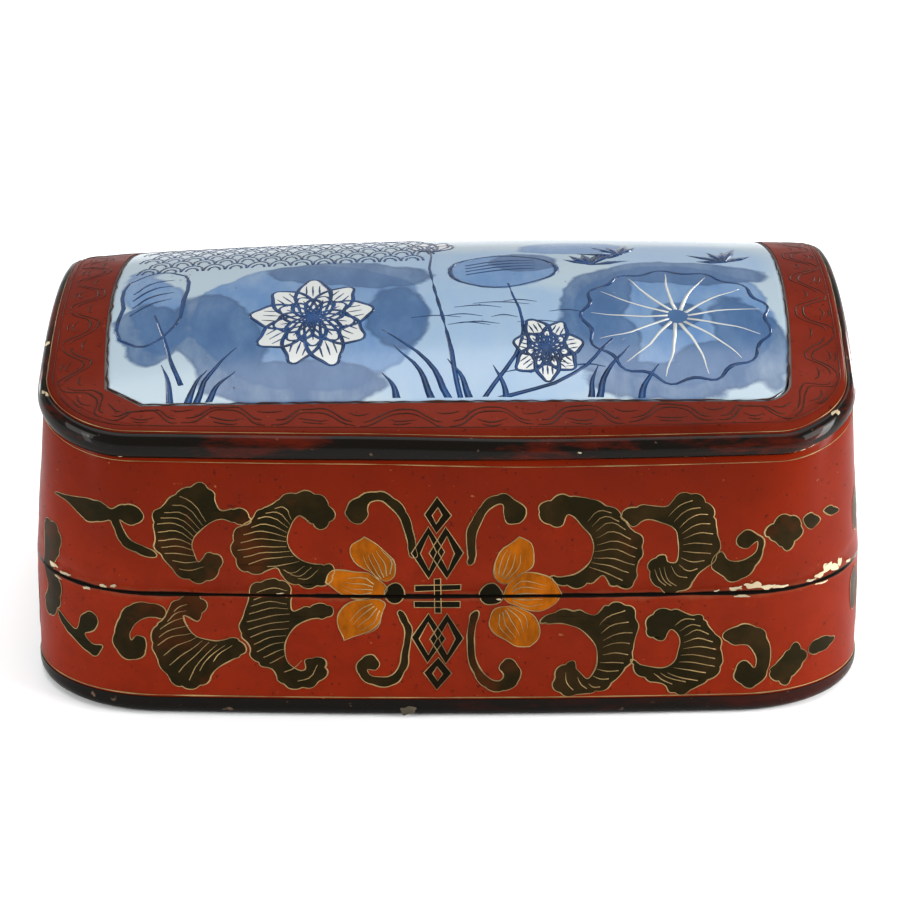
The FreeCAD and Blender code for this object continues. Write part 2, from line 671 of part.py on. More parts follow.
def draw_corner_cut(sketch, inset):
    """Triangle that takes off the front left corner of the panel."""
    reach_x = f"panel_length / 2 - ( {inset} )"
    reach_y = f"panel_width / 2 - ( {inset} )"
    x, y = -size(reach_x), -size(reach_y)
    cut_x, cut_y = size("panel_cut_length"), size("panel_cut_width")
    corner = Vector(x, y, 0)
    along = Vector(x + cut_x, y, 0)
    across = Vector(x, y + cut_y, 0)
    for start, end in ((corner, along), (along, across), (across, corner)):
        sketch.addGeometry(Part.LineSegment(start, end))
    rule = sketch.addConstraint
    for one, other in ((0, 1), (1, 2), (2, 0)):
        rule(Sketcher.Constraint("Coincident", one, 2, other, 1))
    rule(Sketcher.Constraint("Horizontal", 0))
    rule(Sketcher.Constraint("Vertical", 2))
    rule(Sketcher.Constraint("DistanceX", 0, 1, ORIGIN, 1, -x))
    name_last(sketch, "corner_x", reach_x)
    rule(Sketcher.Constraint("DistanceY", 0, 1, ORIGIN, 1, -y))
    name_last(sketch, "corner_y", reach_y)
    rule(Sketcher.Constraint("DistanceX", 0, 1, 0, 2, cut_x))
    name_last(sketch, "cut_length", "panel_cut_length")
    rule(Sketcher.Constraint("DistanceY", 2, 2, 2, 1, cut_y))
    name_last(sketch, "cut_width", "panel_cut_width")


def make_crown(top_form, under_crown, vault):
    """Crown frame, porcelain, its putty and the board behind it."""
    bed_form = crown_form("bed", "panel_bed_drop")
    joint_form = crown_form("joint", "putty_sink")
    panel_under = crown_form("panel_under", "panel_thickness")
    rebate = panel_prism("rebate", "-putty_gap", "panel_corner_radius + putty_gap")
    opening = panel_prism("opening", "ledge_width", "opening_corner_radius")

    edge = prism("crown_edge", lambda s: draw_wall_line(s, "crown_inset"))
    within = prism("lid_inside",
                   lambda s: draw_wall_line(s, "lid_inner_inset + glue_line"))
    dome = common("crown_dome", edge, top_form)
    stepped = cut("crown_stepped", dome, cut("wall_top", under_crown, within))
    slab = cut("crown_slab", stepped, vault)
    recess = cut("panel_recess", rebate, bed_form)
    rebated = cut("crown_rebated", slab, recess)
    cut("crown_frame", rebated, opening)

    plan = panel_prism("panel", "0", "panel_corner_radius")
    thick = common("panel_thick", plan, top_form)
    sheet_ = cut("panel_sheet", thick, panel_under)
    face = faces_facing(sheet_.Shape, UP)
    rim = edges_of(sheet_.Shape, [f.OuterWire for f in face])
    bevel_edges("porcelain_panel", sheet_, ((rim, "panel_bevel"),))

    filled = common("putty_filled", rebate, joint_form)
    bedded = cut("putty_bedded", filled, bed_form)
    framed = cut("putty_framed", bedded, opening)
    cut("panel_putty", framed, cut("panel_space", plan, panel_under))

    backing_plan = panel_prism("backing", "ledge_width + glue_line",
                               "opening_corner_radius - glue_line")
    backing_form = vault_form("backing", "vault_drop - backing_thickness")
    cut("crown_backing", common("backing_top", backing_plan, backing_form), vault)

    lining_form = vault_form("lining", "vault_drop + lining_thickness")
    cut("lid_lining", common("lining_top", within, vault), lining_form)


# ---------------------------------------------------------------- tray

def make_fitted_tray():
    """Lift-out tray with a well and finger notches for the stone and the stick."""
    body = new_body("fitted_tray")
    outline = level_sketch(body, "tray_line", "tray_seat")
    draw_wall_line(outline, "tray_inset")
    pad(body, outline, "tray_height")
    dress_edges(body, CHAMFER, level_edges(body.Shape, "tray_top"), "tray_bevel",
                "tray_edge")
    cuts = (
        ("stone_well", "stone_place", "stone_length + 2 * well_clearance",
         "stone_width + 2 * well_clearance", "stone_corner + well_clearance",
         "stone_well_depth"),
        ("stick_well", "stick_place", "stick_width + 2 * well_clearance",
         "stick_length + 2 * well_clearance", "stick_corner + well_clearance",
         "stick_well_depth"),
        ("stone_notch", "stone_place", "stone_notch_width",
         "stone_width + 2 * notch_reach", "notch_corner", "stone_notch_depth"),
        ("stick_notch", "stick_place", "stick_width + 2 * notch_reach",
         "stick_notch_width", "notch_corner", "stick_well_depth"),
    )
    for name, place, length, width, corner, depth in cuts:
        outline = level_sketch(body, name, "tray_top", x=place)
        draw_rounded_rectangle(outline, length, width, corner)
        pocket(body, outline, depth)
    return body


def make_pad(name, place, length, width, corner, seat):
    """Silk pad on the floor of a well."""
    body = new_body(name)
    outline = level_sketch(body, f"{name}_line", seat, x=place)
    draw_rounded_rectangle(outline, length, width, corner)
    pad(body, outline, "pad_thickness")
    return body


def make_ink_stone():
    """Slate block: a sunk grinding face that falls into a pool at the left end."""
    blank = new_body("stone_blank")
    outline = level_sketch(blank, "stone_line", "stone_seat", x="stone_place")
    draw_rounded_rectangle(outline, "stone_length", "stone_width", "stone_corner")
    pad(blank, outline, "stone_height")
    dress_edges(blank, FILLET, level_edges(blank.Shape, "stone_top"), "stone_edge",
                "stone_upper_edge")

    within = free_sketch("stone_rim_line", "stone_seat")
    bind(within, ".Placement.Base.x", "stone_place")
    draw_rounded_rectangle(within, "stone_length - 2 * stone_rim",
                           "stone_width - 2 * stone_rim", "stone_corner")
    inside = doc.addObject("Part::Extrusion", "stone_rim_prism")
    inside.Base = within
    inside.DirMode = "Normal"
    inside.Solid = True
    bind(inside, "LengthFwd", "2 * stone_height")

    profile = doc.addObject("Sketcher::SketchObject", "stone_face_profile")
    profile.Placement = Placement(Vector(), ENDWISE)
    bind(profile, ".Placement.Base.x", "stone_place - stone_length / 2 + stone_rim")
    bind(profile, ".Placement.Base.y", "stone_width / 2")
    bind(profile, ".Placement.Base.z", "stone_top")
    draw_face_profile(profile)
    carving = doc.addObject("Part::Extrusion", "stone_carving")
    carving.Base = profile
    carving.DirMode = "Normal"
    carving.Solid = True
    bind(carving, "LengthFwd", "stone_width")
    doc.recompute()
    return cut("ink_stone", blank, common("stone_hollow", inside, carving))


def draw_face_profile(sketch):
    """Section of the stone's hollow, along its length.

    From the rim's inner face at the left: the pool's quarter-round floor, the rise to
    the brow, and the straight grinding face, which falls gently towards the brow.
    """
    length = "stone_length - 2 * stone_rim"
    brow_depth = "face_sink + face_fall"
    pool_x, pool_z = size("pool_length"), size("pool_depth")
    end_x, above = size(length), size("stone_height")
    sink, brow = size("face_sink"), size(brow_depth)
    centre_x = pool_x / 2
    points = {
        "top_left": Vector(0, above, 0),
        "pool_left": Vector(0, -sink, 0),
        "pool_floor": Vector(centre_x, -pool_z, 0),
        "brow": Vector(pool_x, -brow, 0),
        "face_end": Vector(end_x, -sink, 0),
        "top_right": Vector(end_x, above, 0),
    }
    left = Part.LineSegment(points["top_left"], points["pool_left"])
    floor = Part.Arc(points["pool_left"], points["pool_floor"], points["brow"])
    face = Part.LineSegment(points["brow"], points["face_end"])
    right = Part.LineSegment(points["face_end"], points["top_right"])
    lid = Part.LineSegment(points["top_right"], points["top_left"])
    for piece in (left, floor, face, right, lid):
        sketch.addGeometry(piece)
    rule = sketch.addConstraint
    arc_left, arc_right = ARC_START, ARC_END
    rule(Sketcher.Constraint("Coincident", 0, 2, 1, arc_left))
    rule(Sketcher.Constraint("Coincident", 1, arc_right, 2, 1))
    rule(Sketcher.Constraint("Coincident", 2, 2, 3, 1))
    rule(Sketcher.Constraint("Coincident", 3, 2, 4, 1))
    rule(Sketcher.Constraint("Coincident", 4, 2, 0, 1))
    rule(Sketcher.Constraint("Vertical", 0))
    rule(Sketcher.Constraint("Vertical", 3))
    rule(Sketcher.Constraint("Horizontal", 4))
    rule(Sketcher.Constraint("PointOnObject", 0, 1, V_AXIS))
    rule(Sketcher.Constraint("DistanceY", ORIGIN, 1, 0, 1, above))
    name_last(sketch, "above", "stone_height")
    rule(Sketcher.Constraint("DistanceY", 0, 2, ORIGIN, 1, sink))
    name_last(sketch, "pool_edge", "face_sink")
    rule(Sketcher.Constraint("DistanceX", 4, 2, 4, 1, end_x))
    name_last(sketch, "hollow_length", length)
    rule(Sketcher.Constraint("DistanceY", 3, 1, ORIGIN, 1, sink))
    name_last(sketch, "face_end_sink", "face_sink")
    rule(Sketcher.Constraint("DistanceX", ORIGIN, 1, 2, 1, pool_x))
    name_last(sketch, "brow_place", "pool_length")
    rule(Sketcher.Constraint("DistanceY", 2, 1, ORIGIN, 1, brow))
    name_last(sketch, "brow_sink", brow_depth)
    # lowest point of the arc: its centre less its radius
    arc = sketch.Geometry[1]
    rule(Sketcher.Constraint("Radius", 1, arc.Radius))
    half = "pool_length / 2"
    deep = "( pool_depth - face_sink - face_fall / 2 )"
    name_last(sketch, "pool_radius", f"( ( {half} ) ^ 2 + {deep} ^ 2 ) / ( 2 * {deep} )")


def make_ink_stick():
    """Moulded bar of ink with a sunk face inside a raised border."""
    body = new_body("ink_stick")
    outline = level_sketch(body, "stick_line", "stick_seat", x="stick_place")
    draw_rounded_rectangle(outline, "stick_width", "stick_length", "stick_corner")
    pad(body, outline, "stick_height")
    names = level_edges(body.Shape, "stick_top") + level_edges(body.Shape, "stick_seat")
    dress_edges(body, CHAMFER, names, "stick_edge", "stick_edges")
    face = level_sketch(body, "stick_face", "stick_top", x="stick_place")
    draw_rounded_rectangle(face, "stick_width - 2 * stick_border",
                           "stick_length - 2 * stick_border", "stick_corner / 2")
    pocket(body, face, "stick_relief")
    return body


# ---------------------------------------------------------------- document

NODES = (
    "base_board", "board_pegs", "base_wall", "base_lip", "base_lining",
    "lid_wall", "crown_frame", "rim_bead", "porcelain_panel", "panel_putty",
    "crown_backing", "lid_lining",
    "fitted_tray", "stone_pad", "stick_pad", "ink_stone", "ink_stick",
)


def build():
    fill_sheet()
    make_base_board()
    make_board_pegs()
    make_base_wall()
    make_base_lip()
    make_base_lining()
    top_form = crown_form("crown_top", "0")
    under_crown = crown_form("crown_under", "crown_thickness")
    make_lid_wall(under_crown)
    make_rim_bead(under_crown)
    make_crown(top_form, under_crown, vault_form("vault", "vault_drop"))
    make_fitted_tray()
    make_pad("stone_pad", "stone_place", "stone_length", "stone_width",
             "stone_corner", "stone_pad_seat")
    make_pad("stick_pad", "stick_place", "stick_width", "stick_length",
             "stick_corner", "stick_pad_seat")
    make_ink_stone()
    make_ink_stick()
    doc.recompute()


def check():
    """Stop on any failed object, empty cut or unsound solid."""
    for item in doc.Objects:
        if {"Invalid", "Error"} & set(item.State):
            raise RuntimeError(f"{item.Label} failed: {item.State}")
        if item.TypeId == "PartDesign::Pocket":
            before = item.BaseFeature.Shape.Volume
            if item.Shape.Volume >= before:
                raise RuntimeError(f"{item.Label} cuts nothing")
    for name in NODES:
        shape = node(name).Shape
        if shape.isNull() or not shape.isValid() or not shape.Solids:
            raise RuntimeError(f"{name} has no sound solid")


def node(name):
    return doc.getObjectsByLabel(name)[0]


def write():
    os.makedirs("parts", exist_ok=True)
    for name in NODES:
        node(name).Shape.exportStep(f"parts/{name}.step")


build()
check()
write()
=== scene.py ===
"""Looks of a red lacquered box with a porcelain panel in its lid, laid out as an add-on."""

import math
import random

import bmesh
import bpy
from bpy.props import FloatProperty, FloatVectorProperty, PointerProperty
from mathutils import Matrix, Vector, noise


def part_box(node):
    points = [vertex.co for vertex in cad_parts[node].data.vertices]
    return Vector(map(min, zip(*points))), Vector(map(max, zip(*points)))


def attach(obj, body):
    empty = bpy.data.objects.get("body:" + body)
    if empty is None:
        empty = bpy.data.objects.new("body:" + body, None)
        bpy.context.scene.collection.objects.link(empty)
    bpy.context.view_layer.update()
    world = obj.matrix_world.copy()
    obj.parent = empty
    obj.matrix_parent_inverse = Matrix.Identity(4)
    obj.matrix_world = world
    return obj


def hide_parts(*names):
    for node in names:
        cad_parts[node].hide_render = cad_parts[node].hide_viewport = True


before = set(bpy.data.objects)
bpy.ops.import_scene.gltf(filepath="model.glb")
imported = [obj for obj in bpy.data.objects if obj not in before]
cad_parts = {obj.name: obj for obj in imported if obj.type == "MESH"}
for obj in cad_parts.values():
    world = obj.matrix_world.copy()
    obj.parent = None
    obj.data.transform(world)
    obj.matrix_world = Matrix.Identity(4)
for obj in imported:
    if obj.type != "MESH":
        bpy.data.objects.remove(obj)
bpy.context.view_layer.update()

bl_info = {
    "name": "Lacquer Ink Box",
    "version": (1, 0, 0),
    "blender": (4, 5, 0),
    "location": "View3D > Sidebar > Ink Box",
    "description": "Lacquer, gilding and painted porcelain for a box for ink stone and stick",
    "category": "Object",
}

MM = 0.001
TURN = 2 * math.pi
PLAN = None              # the walls' plan, worked out once the sizes are registered

# in millimetres, unless said otherwise
SEAM_GAP = 0.45          # ornament and lacquer coat stop this far from the seam
LINING_DROP = 7.2        # from the plain arch inside the lid down to its lining
CUT_CORNER = (-0.629, -0.778)    # outward direction of the porcelain's cut corner
CAMERA_AIM = (0.689, 0.0, 40.04)
CAMERA_AWAY = 1021.9
CAMERA_LENS = 160.57
CAMERA_UP, CAMERA_SIDE = 21.557, -0.228      # degrees


# ---------------------------------------------------------------- sizes and colours

def length(name, text, default):
    """A length in metres, given in millimetres."""
    return FloatProperty(name=name, description=text, default=default * MM, unit="LENGTH",
                         precision=5)


def colour(name, text, default):
    """A colour, linear red, green and blue."""
    return FloatVectorProperty(name=name, description=text, default=default, size=3,
                               subtype="COLOR", min=0.0, max=1.0)


class InkBoxSizes(bpy.types.PropertyGroup):
    """Sizes of the walls' plan, of the crown and of the trim."""
    half_width: length("Half width", "Middle of the box to the outer face of the ends", 101)
    half_depth: length("Half depth", "Middle of the box to the outer face of the front", 74)
    front_bow: length("Front bow", "Plan radius of the front and the back", 1300)
    end_bow: length("End bow", "Plan radius of the ends", 4000)
    corner: length("Corner", "Plan radius of the corners", 32)
    seam: length("Seam", "Height of the seam between base and lid", 31.8)
    lid_lean: length("Lid lean", "How far the lid leans in up to the crown edge", 3.1)
    tighter_left: length("Tighter left", "How much tighter the crown's left corners are", 5)
    tighter_right: length("Tighter right", "How much tighter its right corners are", 8)
    crown_edge: length("Crown edge", "Crown surface over the walls at the right end", 69)
    crown_lift: length("Crown lift", "How much higher the crown edge is in the middle", 1)
    back_drop: length("Back drop", "How much lower the back edge is at the left end", 3.2)
    rise_left: length("Left rise", "Crest above the crown edge at the left end", 13)
    rise_middle: length("Middle rise", "Crest above the crown edge in the middle", 17)
    rise_right: length("Right rise", "Crest above the crown edge at the right end", 16)
    margin: length("Margin", "How far the crown's end sections stand off the walls", 6)
    panel_length: length("Panel length", "Porcelain from end to end", 167)
    panel_width: length("Panel width", "Porcelain from front to back", 119.4)
    panel_side_bow: length("Panel side bow", "Plan radius of its long edges", 3000)
    panel_end_bow: length("Panel end bow", "Plan radius of its ends", 700)
    panel_corner: length("Panel corner", "Radius of its three round corners", 7)
    gold_line: length("Gold line", "Width of the gilt hairline under the moulding", 0.26)
    outline: length("Outline", "Width of the gilt outlines of the leaves", 0.30)


class InkBoxColours(bpy.types.PropertyGroup):
    """Colours of the lacquers, the gilding, the porcelain and the silk."""
    red: colour("Red lacquer", "Walls below the seam and near it", (0.165, 0.011, 0.001))
    # painted shade: the lid wall turns to this darker red towards the moulding, the lower walls
    # kept lighter as if the floor lit them
    red_shaded_upper: colour("Darker red", "Walls towards the moulding", (0.092, 0.0055, 0.0))
    red_worn: colour("Rubbed red", "Rubbed parts of the red lacquer", (0.175, 0.013, 0.002))
    red_border: colour("Border red", "Border round the porcelain", (0.097, 0.010, 0.004))
    black: colour("Black lacquer", "Moulding, foot and seam", (0.004, 0.003, 0.002))
    leaf: colour("Leaf", "Painted leaves", (0.008, 0.006, 0.001))
    gold: colour("Gold", "Gilt lines", (0.28, 0.185, 0.075))
    incised: colour("Incised line", "Lines cut into the border", (0.035, 0.012, 0.006))
    lotus: colour("Lotus", "Lotus petals", (0.30, 0.076, 0.001))
    glaze: colour("Glaze", "Glaze under the painting", (0.285, 0.36, 0.41))
    bare: colour("Bare glaze", "Petals and veins left unpainted", (0.46, 0.475, 0.46))
    wash: colour("Wash", "Thinnest cobalt wash", (0.165, 0.268, 0.412))
    blue: colour("Blue", "Cobalt wash", (0.066, 0.150, 0.300))
    deep_blue: colour("Deep blue", "Deepest cobalt wash", (0.022, 0.070, 0.168))
    cobalt: colour("Cobalt", "Brush lines", (0.006, 0.034, 0.110))
    gesso: colour("Gesso", "Ground under the chipped lacquer", (0.42, 0.34, 0.22))
    wood: colour("Wood", "Inside of the box and the tray", (0.16, 0.055, 0.02))
    bamboo: colour("Bamboo", "Pegs", (0.42, 0.28, 0.12))
    slate: colour("Slate", "Ink stone", (0.045, 0.042, 0.05))
    ink: colour("Ink", "Ink stick", (0.012, 0.012, 0.014))
    silk: colour("Silk", "Lining and pads", (0.42, 0.26, 0.07))


def sizes():
    """The sizes that are set in the scene, in metres."""
    return bpy.context.scene.ink_box_sizes


def colours():
    """The colours that are set in the scene."""
    return bpy.context.scene.ink_box_colours


# ---------------------------------------------------------------- materials

class Finish:
    """A material made of a few linked texture nodes."""

    def __init__(self, name):
        self.material = bpy.data.materials.new(name)
        self.material.use_nodes = True
        self.tree = self.material.node_tree
        self.shader = self.tree.nodes["Principled BSDF"]
        self.place = self.tree.nodes.new("ShaderNodeTexCoord").outputs["Object"]

    def node(self, kind, **inputs):
        """New node; inputs are values or sockets, by their name with spaces as underscores."""
        made = self.tree.nodes.new(kind)
        for key, value in inputs.items():
            self.feed(made.inputs[key.replace("_", " ")], value)
        return made

    def feed(self, socket, value):
        """Link a socket to another one, or set its value; a colour is given in three parts."""
        if isinstance(value, bpy.types.NodeSocket):
            self.tree.links.new(value, socket)
        else:
            socket.default_value = (*value, 1.0) if socket.type == "RGBA" else value

    def stretched(self, scale):
        """Object coordinates, scaled along each axis."""
        return self.node("ShaderNodeMapping", Vector=self.place, Scale=scale).outputs[0]

    def noise(self, scale, detail=4.0, rough=0.55, place=None):
        """Noise with so many waves to a metre."""
        return self.node("ShaderNodeTexNoise", Vector=place or self.place, Scale=scale,
                         Detail=detail, Roughness=rough).outputs[0]

    def ramp(self, value, low, high, first=0.0, last=1.0):
        """Value mapped from low..high to first..last, clamped."""
        made = self.node("ShaderNodeMapRange", Value=value, From_Min=low, From_Max=high,
                         To_Min=first, To_Max=last)
        made.clamp = True
        return made.outputs[0]

    def maths(self, operation, first, second=0.0):
        """One sum; the second value is left out where the operation takes one."""
        made = self.tree.nodes.new("ShaderNodeMath")
        made.operation = operation
        self.feed(made.inputs[0], first)
        self.feed(made.inputs[1], second)
        return made.outputs[0]

    def axis(self, index, source=None):
        """One coordinate of a vector."""
        made = self.tree.nodes.new("ShaderNodeSeparateXYZ")
        self.feed(made.inputs[0], source or self.place)
        return made.outputs[index]

    def mix(self, factor, first, second):
        """Colour between two colours."""
        made = self.tree.nodes.new("ShaderNodeMix")
        made.data_type = "RGBA"
        for index, value in ((0, factor), (6, first), (7, second)):
            self.feed(made.inputs[index], value)
        return made.outputs[2]

    def patches(self, tone, other, scale, low, high, most, detail=4.0, rough=0.55, place=None):
        """Tone with up to so much of another over it, where noise runs from low to high."""
        cover = self.ramp(self.noise(scale, detail, rough, place), low, high, 0.0, most)
        return self.mix(cover, tone, other)

    def bump(self, height, strength, distance, under=None):
        """Normal of a fine relief, on top of another one."""
        made = self.node("ShaderNodeBump", Height=height, Strength=strength, Distance=distance)
        if under is not None:
            self.feed(made.inputs["Normal"], under)
        return made.outputs[0]

    def set(self, **values):
        """Sockets of the shader."""
        for key, value in values.items():
            self.feed(self.shader.inputs[key.replace("_", " ")], value)
        return self


def scaled(shade, tone):
    """A colour made lighter or darker, at most 1 in each part."""
    return [min(1.0, v * shade) for v in tone]


def red_lacquer(wall, shade=1.0):
    """Maker of cloudy, specked red lacquer; on the walls the seam is dark and rubbed."""
    def build(name):
        c = colours()
        f = Finish(name)
        cloud = f.ramp(f.noise(22.0, 5.0, 0.62), 0.38, 0.70)
        if wall:
            height = f.maths("SUBTRACT", f.axis(2), sizes().seam)
            upper = f.ramp(height, 0.002, 0.036)
            # painted shade: from the seam up to the moulding the red darkens, standing in for
            # the floor's light on the lower walls
            tone = f.mix(cloud, f.mix(upper, c.red, c.red_shaded_upper),
                         f.mix(upper, c.red_worn, scaled(1.45, c.red_shaded_upper)))
        else:
            # a shade below 1 is painted shade: a darker copy of the border red for the crown's
            # edge, which faces the lights more
            tone = f.mix(cloud, scaled(shade, c.red_border), scaled(shade * 1.5, c.red_border))
        tone = f.patches(tone, scaled(0.45, c.red_border), 14.0, 0.48, 0.72, 0.40, 4.0, 0.6)
        tone = f.patches(tone, scaled(0.6, c.red), 130.0, 0.42, 0.66, 0.42, 5.0, 0.7)
        tone = f.patches(tone, c.black, 750.0, 0.66, 0.72, 0.55, 2.0)
        tone = f.patches(tone, (0.33, 0.14, 0.05), 620.0, 0.71, 0.76, 0.4, 3.0)
        if wall:
            far = f.maths("ABSOLUTE", height)
            worn = f.maths("ADD", far,
                           f.ramp(f.noise(110.0, 5.0, 0.7), 0.3, 0.7, -0.0010, 0.0006))
            tone = f.mix(f.ramp(worn, 0.0, 0.0012, 0.55, 0.0), tone, (0.16, 0.045, 0.018))
            uneven = f.maths("ADD", far,
                             f.ramp(f.noise(70.0, 4.0), 0.3, 0.7, -0.00025, 0.00022))
            tone = f.mix(f.ramp(uneven, 0.00042, 0.00062, 1.0, 0.0), tone, c.black)
        rough = f.ramp(f.noise(60.0, 4.0), 0.3, 0.7, 0.28, 0.42)
        soft = f.bump(f.noise(45.0, 2.0), 0.25, 0.0007)
        return f.set(Base_Color=tone, Roughness=rough, Specular_IOR_Level=0.01,
                     Coat_Weight=0.09 if wall else 0.04, Coat_Roughness=0.22,
                     Normal=f.bump(f.noise(260.0, 3.0), 0.14, 0.0002, soft))
    return build


def black_lacquer(rubbed):
    """Maker of black lacquer, rubbed through to red-brown in places."""
    def build(name):
        c = colours()
        f = Finish(name)
        tone = f.patches(c.black, scaled(0.20 + 0.25 * rubbed, c.red_worn), 22.0, 0.52, 0.64,
                         0.35 + rubbed * 0.4, 6.0, 0.72, f.stretched((0.7, 0.7, 3.4)))
        tone = f.patches(tone, (0.16, 0.10, 0.06), 420.0, 0.68, 0.74, 0.6, 3.0)
        rough = f.ramp(f.noise(80.0, 4.0), 0.3, 0.7, 0.22, 0.40)
        return f.set(Base_Color=tone, Roughness=rough, Specular_IOR_Level=0.02,
                     Coat_Weight=0.10 + 0.08 * rubbed, Coat_Roughness=0.035,
                     Normal=f.bump(f.noise(130.0, 4.0), 0.12, 0.0002))
    return build


def glazed_porcelain(name):
    """Blue-white glaze with three depths of cobalt wash; depths are kept on the mesh."""
    c = colours()
    f = Finish(name)
    washes = f.tree.nodes.new("ShaderNodeAttribute")
    washes.attribute_name = "wash"
    depth = [f.axis(k, washes.outputs["Vector"]) for k in range(3)]
    grain = f.ramp(f.noise(350.0, 4.0, 0.6), 0.0, 1.0, -0.7, 0.7)
    tone = f.patches(c.glaze, scaled(0.92, c.glaze), 35.0, 0.3, 0.7, 0.4, 3.0)
    streak = f.noise(60.0, 4.0, 0.6, f.stretched((2.4, 0.8, 1.0)))
    for k, (share, soft_edge, shade) in enumerate(((0.70, 6.0, c.wash), (0.95, 0.7, c.blue),
                                                   (0.92, 0.6, c.deep_blue))):
        edge = f.maths("ADD", depth[k], grain)
        cover = f.ramp(edge, -0.35, soft_edge, 0.0, share)
        pooled = f.maths("MULTIPLY", cover, f.ramp(streak, 0.25, 0.75, 0.68, 1.15))
        tone = f.mix(pooled, tone, shade)
        dried = f.ramp(f.maths("ABSOLUTE", f.maths("SUBTRACT", edge, 0.6)), 0.0, 0.8,
                       0.0 if k == 0 else 0.30, 0.0)
        tone = f.mix(dried, tone, scaled(0.5, shade))
    tone = f.patches(tone, (0.25, 0.22, 0.20), 620.0, 0.72, 0.76, 0.35, 2.0)
    soft = f.bump(f.noise(26.0, 2.0), 0.25, 0.0008)
    return f.set(Base_Color=tone, Roughness=0.22, Specular_IOR_Level=0.22, Coat_Weight=0.25,
                 Coat_Roughness=0.12, Normal=f.bump(f.noise(240.0, 2.0), 0.10, 0.0002, soft))


def leaf_lacquer(thinness, shade=1.0):
    """Maker of near-black paint, thin in places so that the red ground warms it."""
    def build(name):
        f = Finish(name)
        tone = f.patches(scaled(shade, colours().leaf), (0.030, 0.015, 0.004), 70.0, 0.44, 0.72,
                         0.75 * thinness, 5.0, 0.65)
        tone = f.patches(tone, (0.080, 0.014, 0.002), 48.0, 0.56, 0.72, 0.5 * thinness, 4.0, 0.6)
        return f.set(Base_Color=tone, Roughness=f.ramp(f.noise(90.0), 0.3, 0.7, 0.26, 0.42),
                     Specular_IOR_Level=0.02, Coat_Weight=0.035, Coat_Roughness=0.16,
                     Normal=f.bump(f.noise(210.0, 3.0), 0.2, 0.0002))
    return build


def lotus_lacquer(name):
    """Ochre petals with brown brush marks."""
    c = colours()
    f = Finish(name)
    mark = f.ramp(f.noise(190.0, 5.0, 0.7, f.stretched((1.0, 1.0, 0.45))), 0.36, 0.66)
    tone = f.mix(mark, scaled(0.42, c.lotus), c.lotus)
    tone = f.patches(tone, scaled(1.5, c.lotus), 60.0, 0.5, 0.7, 0.5, 3.0)
    return f.set(Base_Color=tone, Roughness=0.36, Specular_IOR_Level=0.02, Coat_Weight=0.04,
                 Coat_Roughness=0.18, Normal=f.bump(mark, 0.15, 0.0002))


def plain_finish(colour_name, shade=1.0, rough=0.35, metal=0.0, grain=300.0, uneven=0.5,
                 coat=0.0, bump=0.15, spec=0.4):
    """Maker of a single-coloured finish with slightly uneven tone and grain."""
    def build(name):
        f = Finish(name)
        base = scaled(shade, getattr(colours(), colour_name))
        tone = f.patches(scaled(1 - uneven, base), scaled(1 + uneven * 0.5, base), grain / 6,
                         0.3, 0.7, 1.0)
        return f.set(Base_Color=tone, Roughness=rough, Metallic=metal, Coat_Weight=coat,
                     Coat_Roughness=0.1, Specular_IOR_Level=spec,
                     Normal=f.bump(f.noise(grain, 3.0), bump, 0.0002))
    return build


def grained(colour_name, shade, rough, across=(9.0, 1.0, 9.0)):
    """Maker of a wooden or bamboo finish with grain along the box."""
    def build(name):
        f = Finish(name)
        base = scaled(shade, getattr(colours(), colour_name))
        grain = f.noise(60.0, 6.0, 0.7, f.stretched(across))
        tone = f.mix(f.ramp(grain, 0.3, 0.7), scaled(0.5, base), base)
        return f.set(Base_Color=tone, Roughness=rough, Specular_IOR_Level=0.35,
                     Normal=f.bump(grain, 0.2, 0.0002))
    return build


def woven(colour_name, shade, pitch):
    """Maker of silk with a fine weave and woven diamonds, of a pitch in millimetres."""
    def build(name):
        f = Finish(name)
        base = scaled(shade, getattr(colours(), colour_name))
        x, y = f.axis(0), f.axis(1)

        def wave(kind, along, every):
            return f.maths(kind, f.maths("MULTIPLY", along, 6283.0 / every))
        weave = f.maths("MULTIPLY", wave("SINE", x, 0.6), wave("SINE", y, 0.6))
        lattice = f.maths("ADD", wave("COSINE", f.maths("ADD", x, y), pitch),
                          wave("COSINE", f.maths("SUBTRACT", x, y), pitch))
        tone = f.mix(f.ramp(lattice, 0.9, 1.2), base, scaled(1.55, base))
        tone = f.patches(tone, scaled(0.6, base), 30.0, 0.35, 0.7, 0.5)
        return f.set(Base_Color=tone, Roughness=0.55, Sheen_Weight=0.35, Sheen_Roughness=0.4,
                     Specular_IOR_Level=0.3, Normal=f.bump(weave, 0.35, 0.0001))
    return build


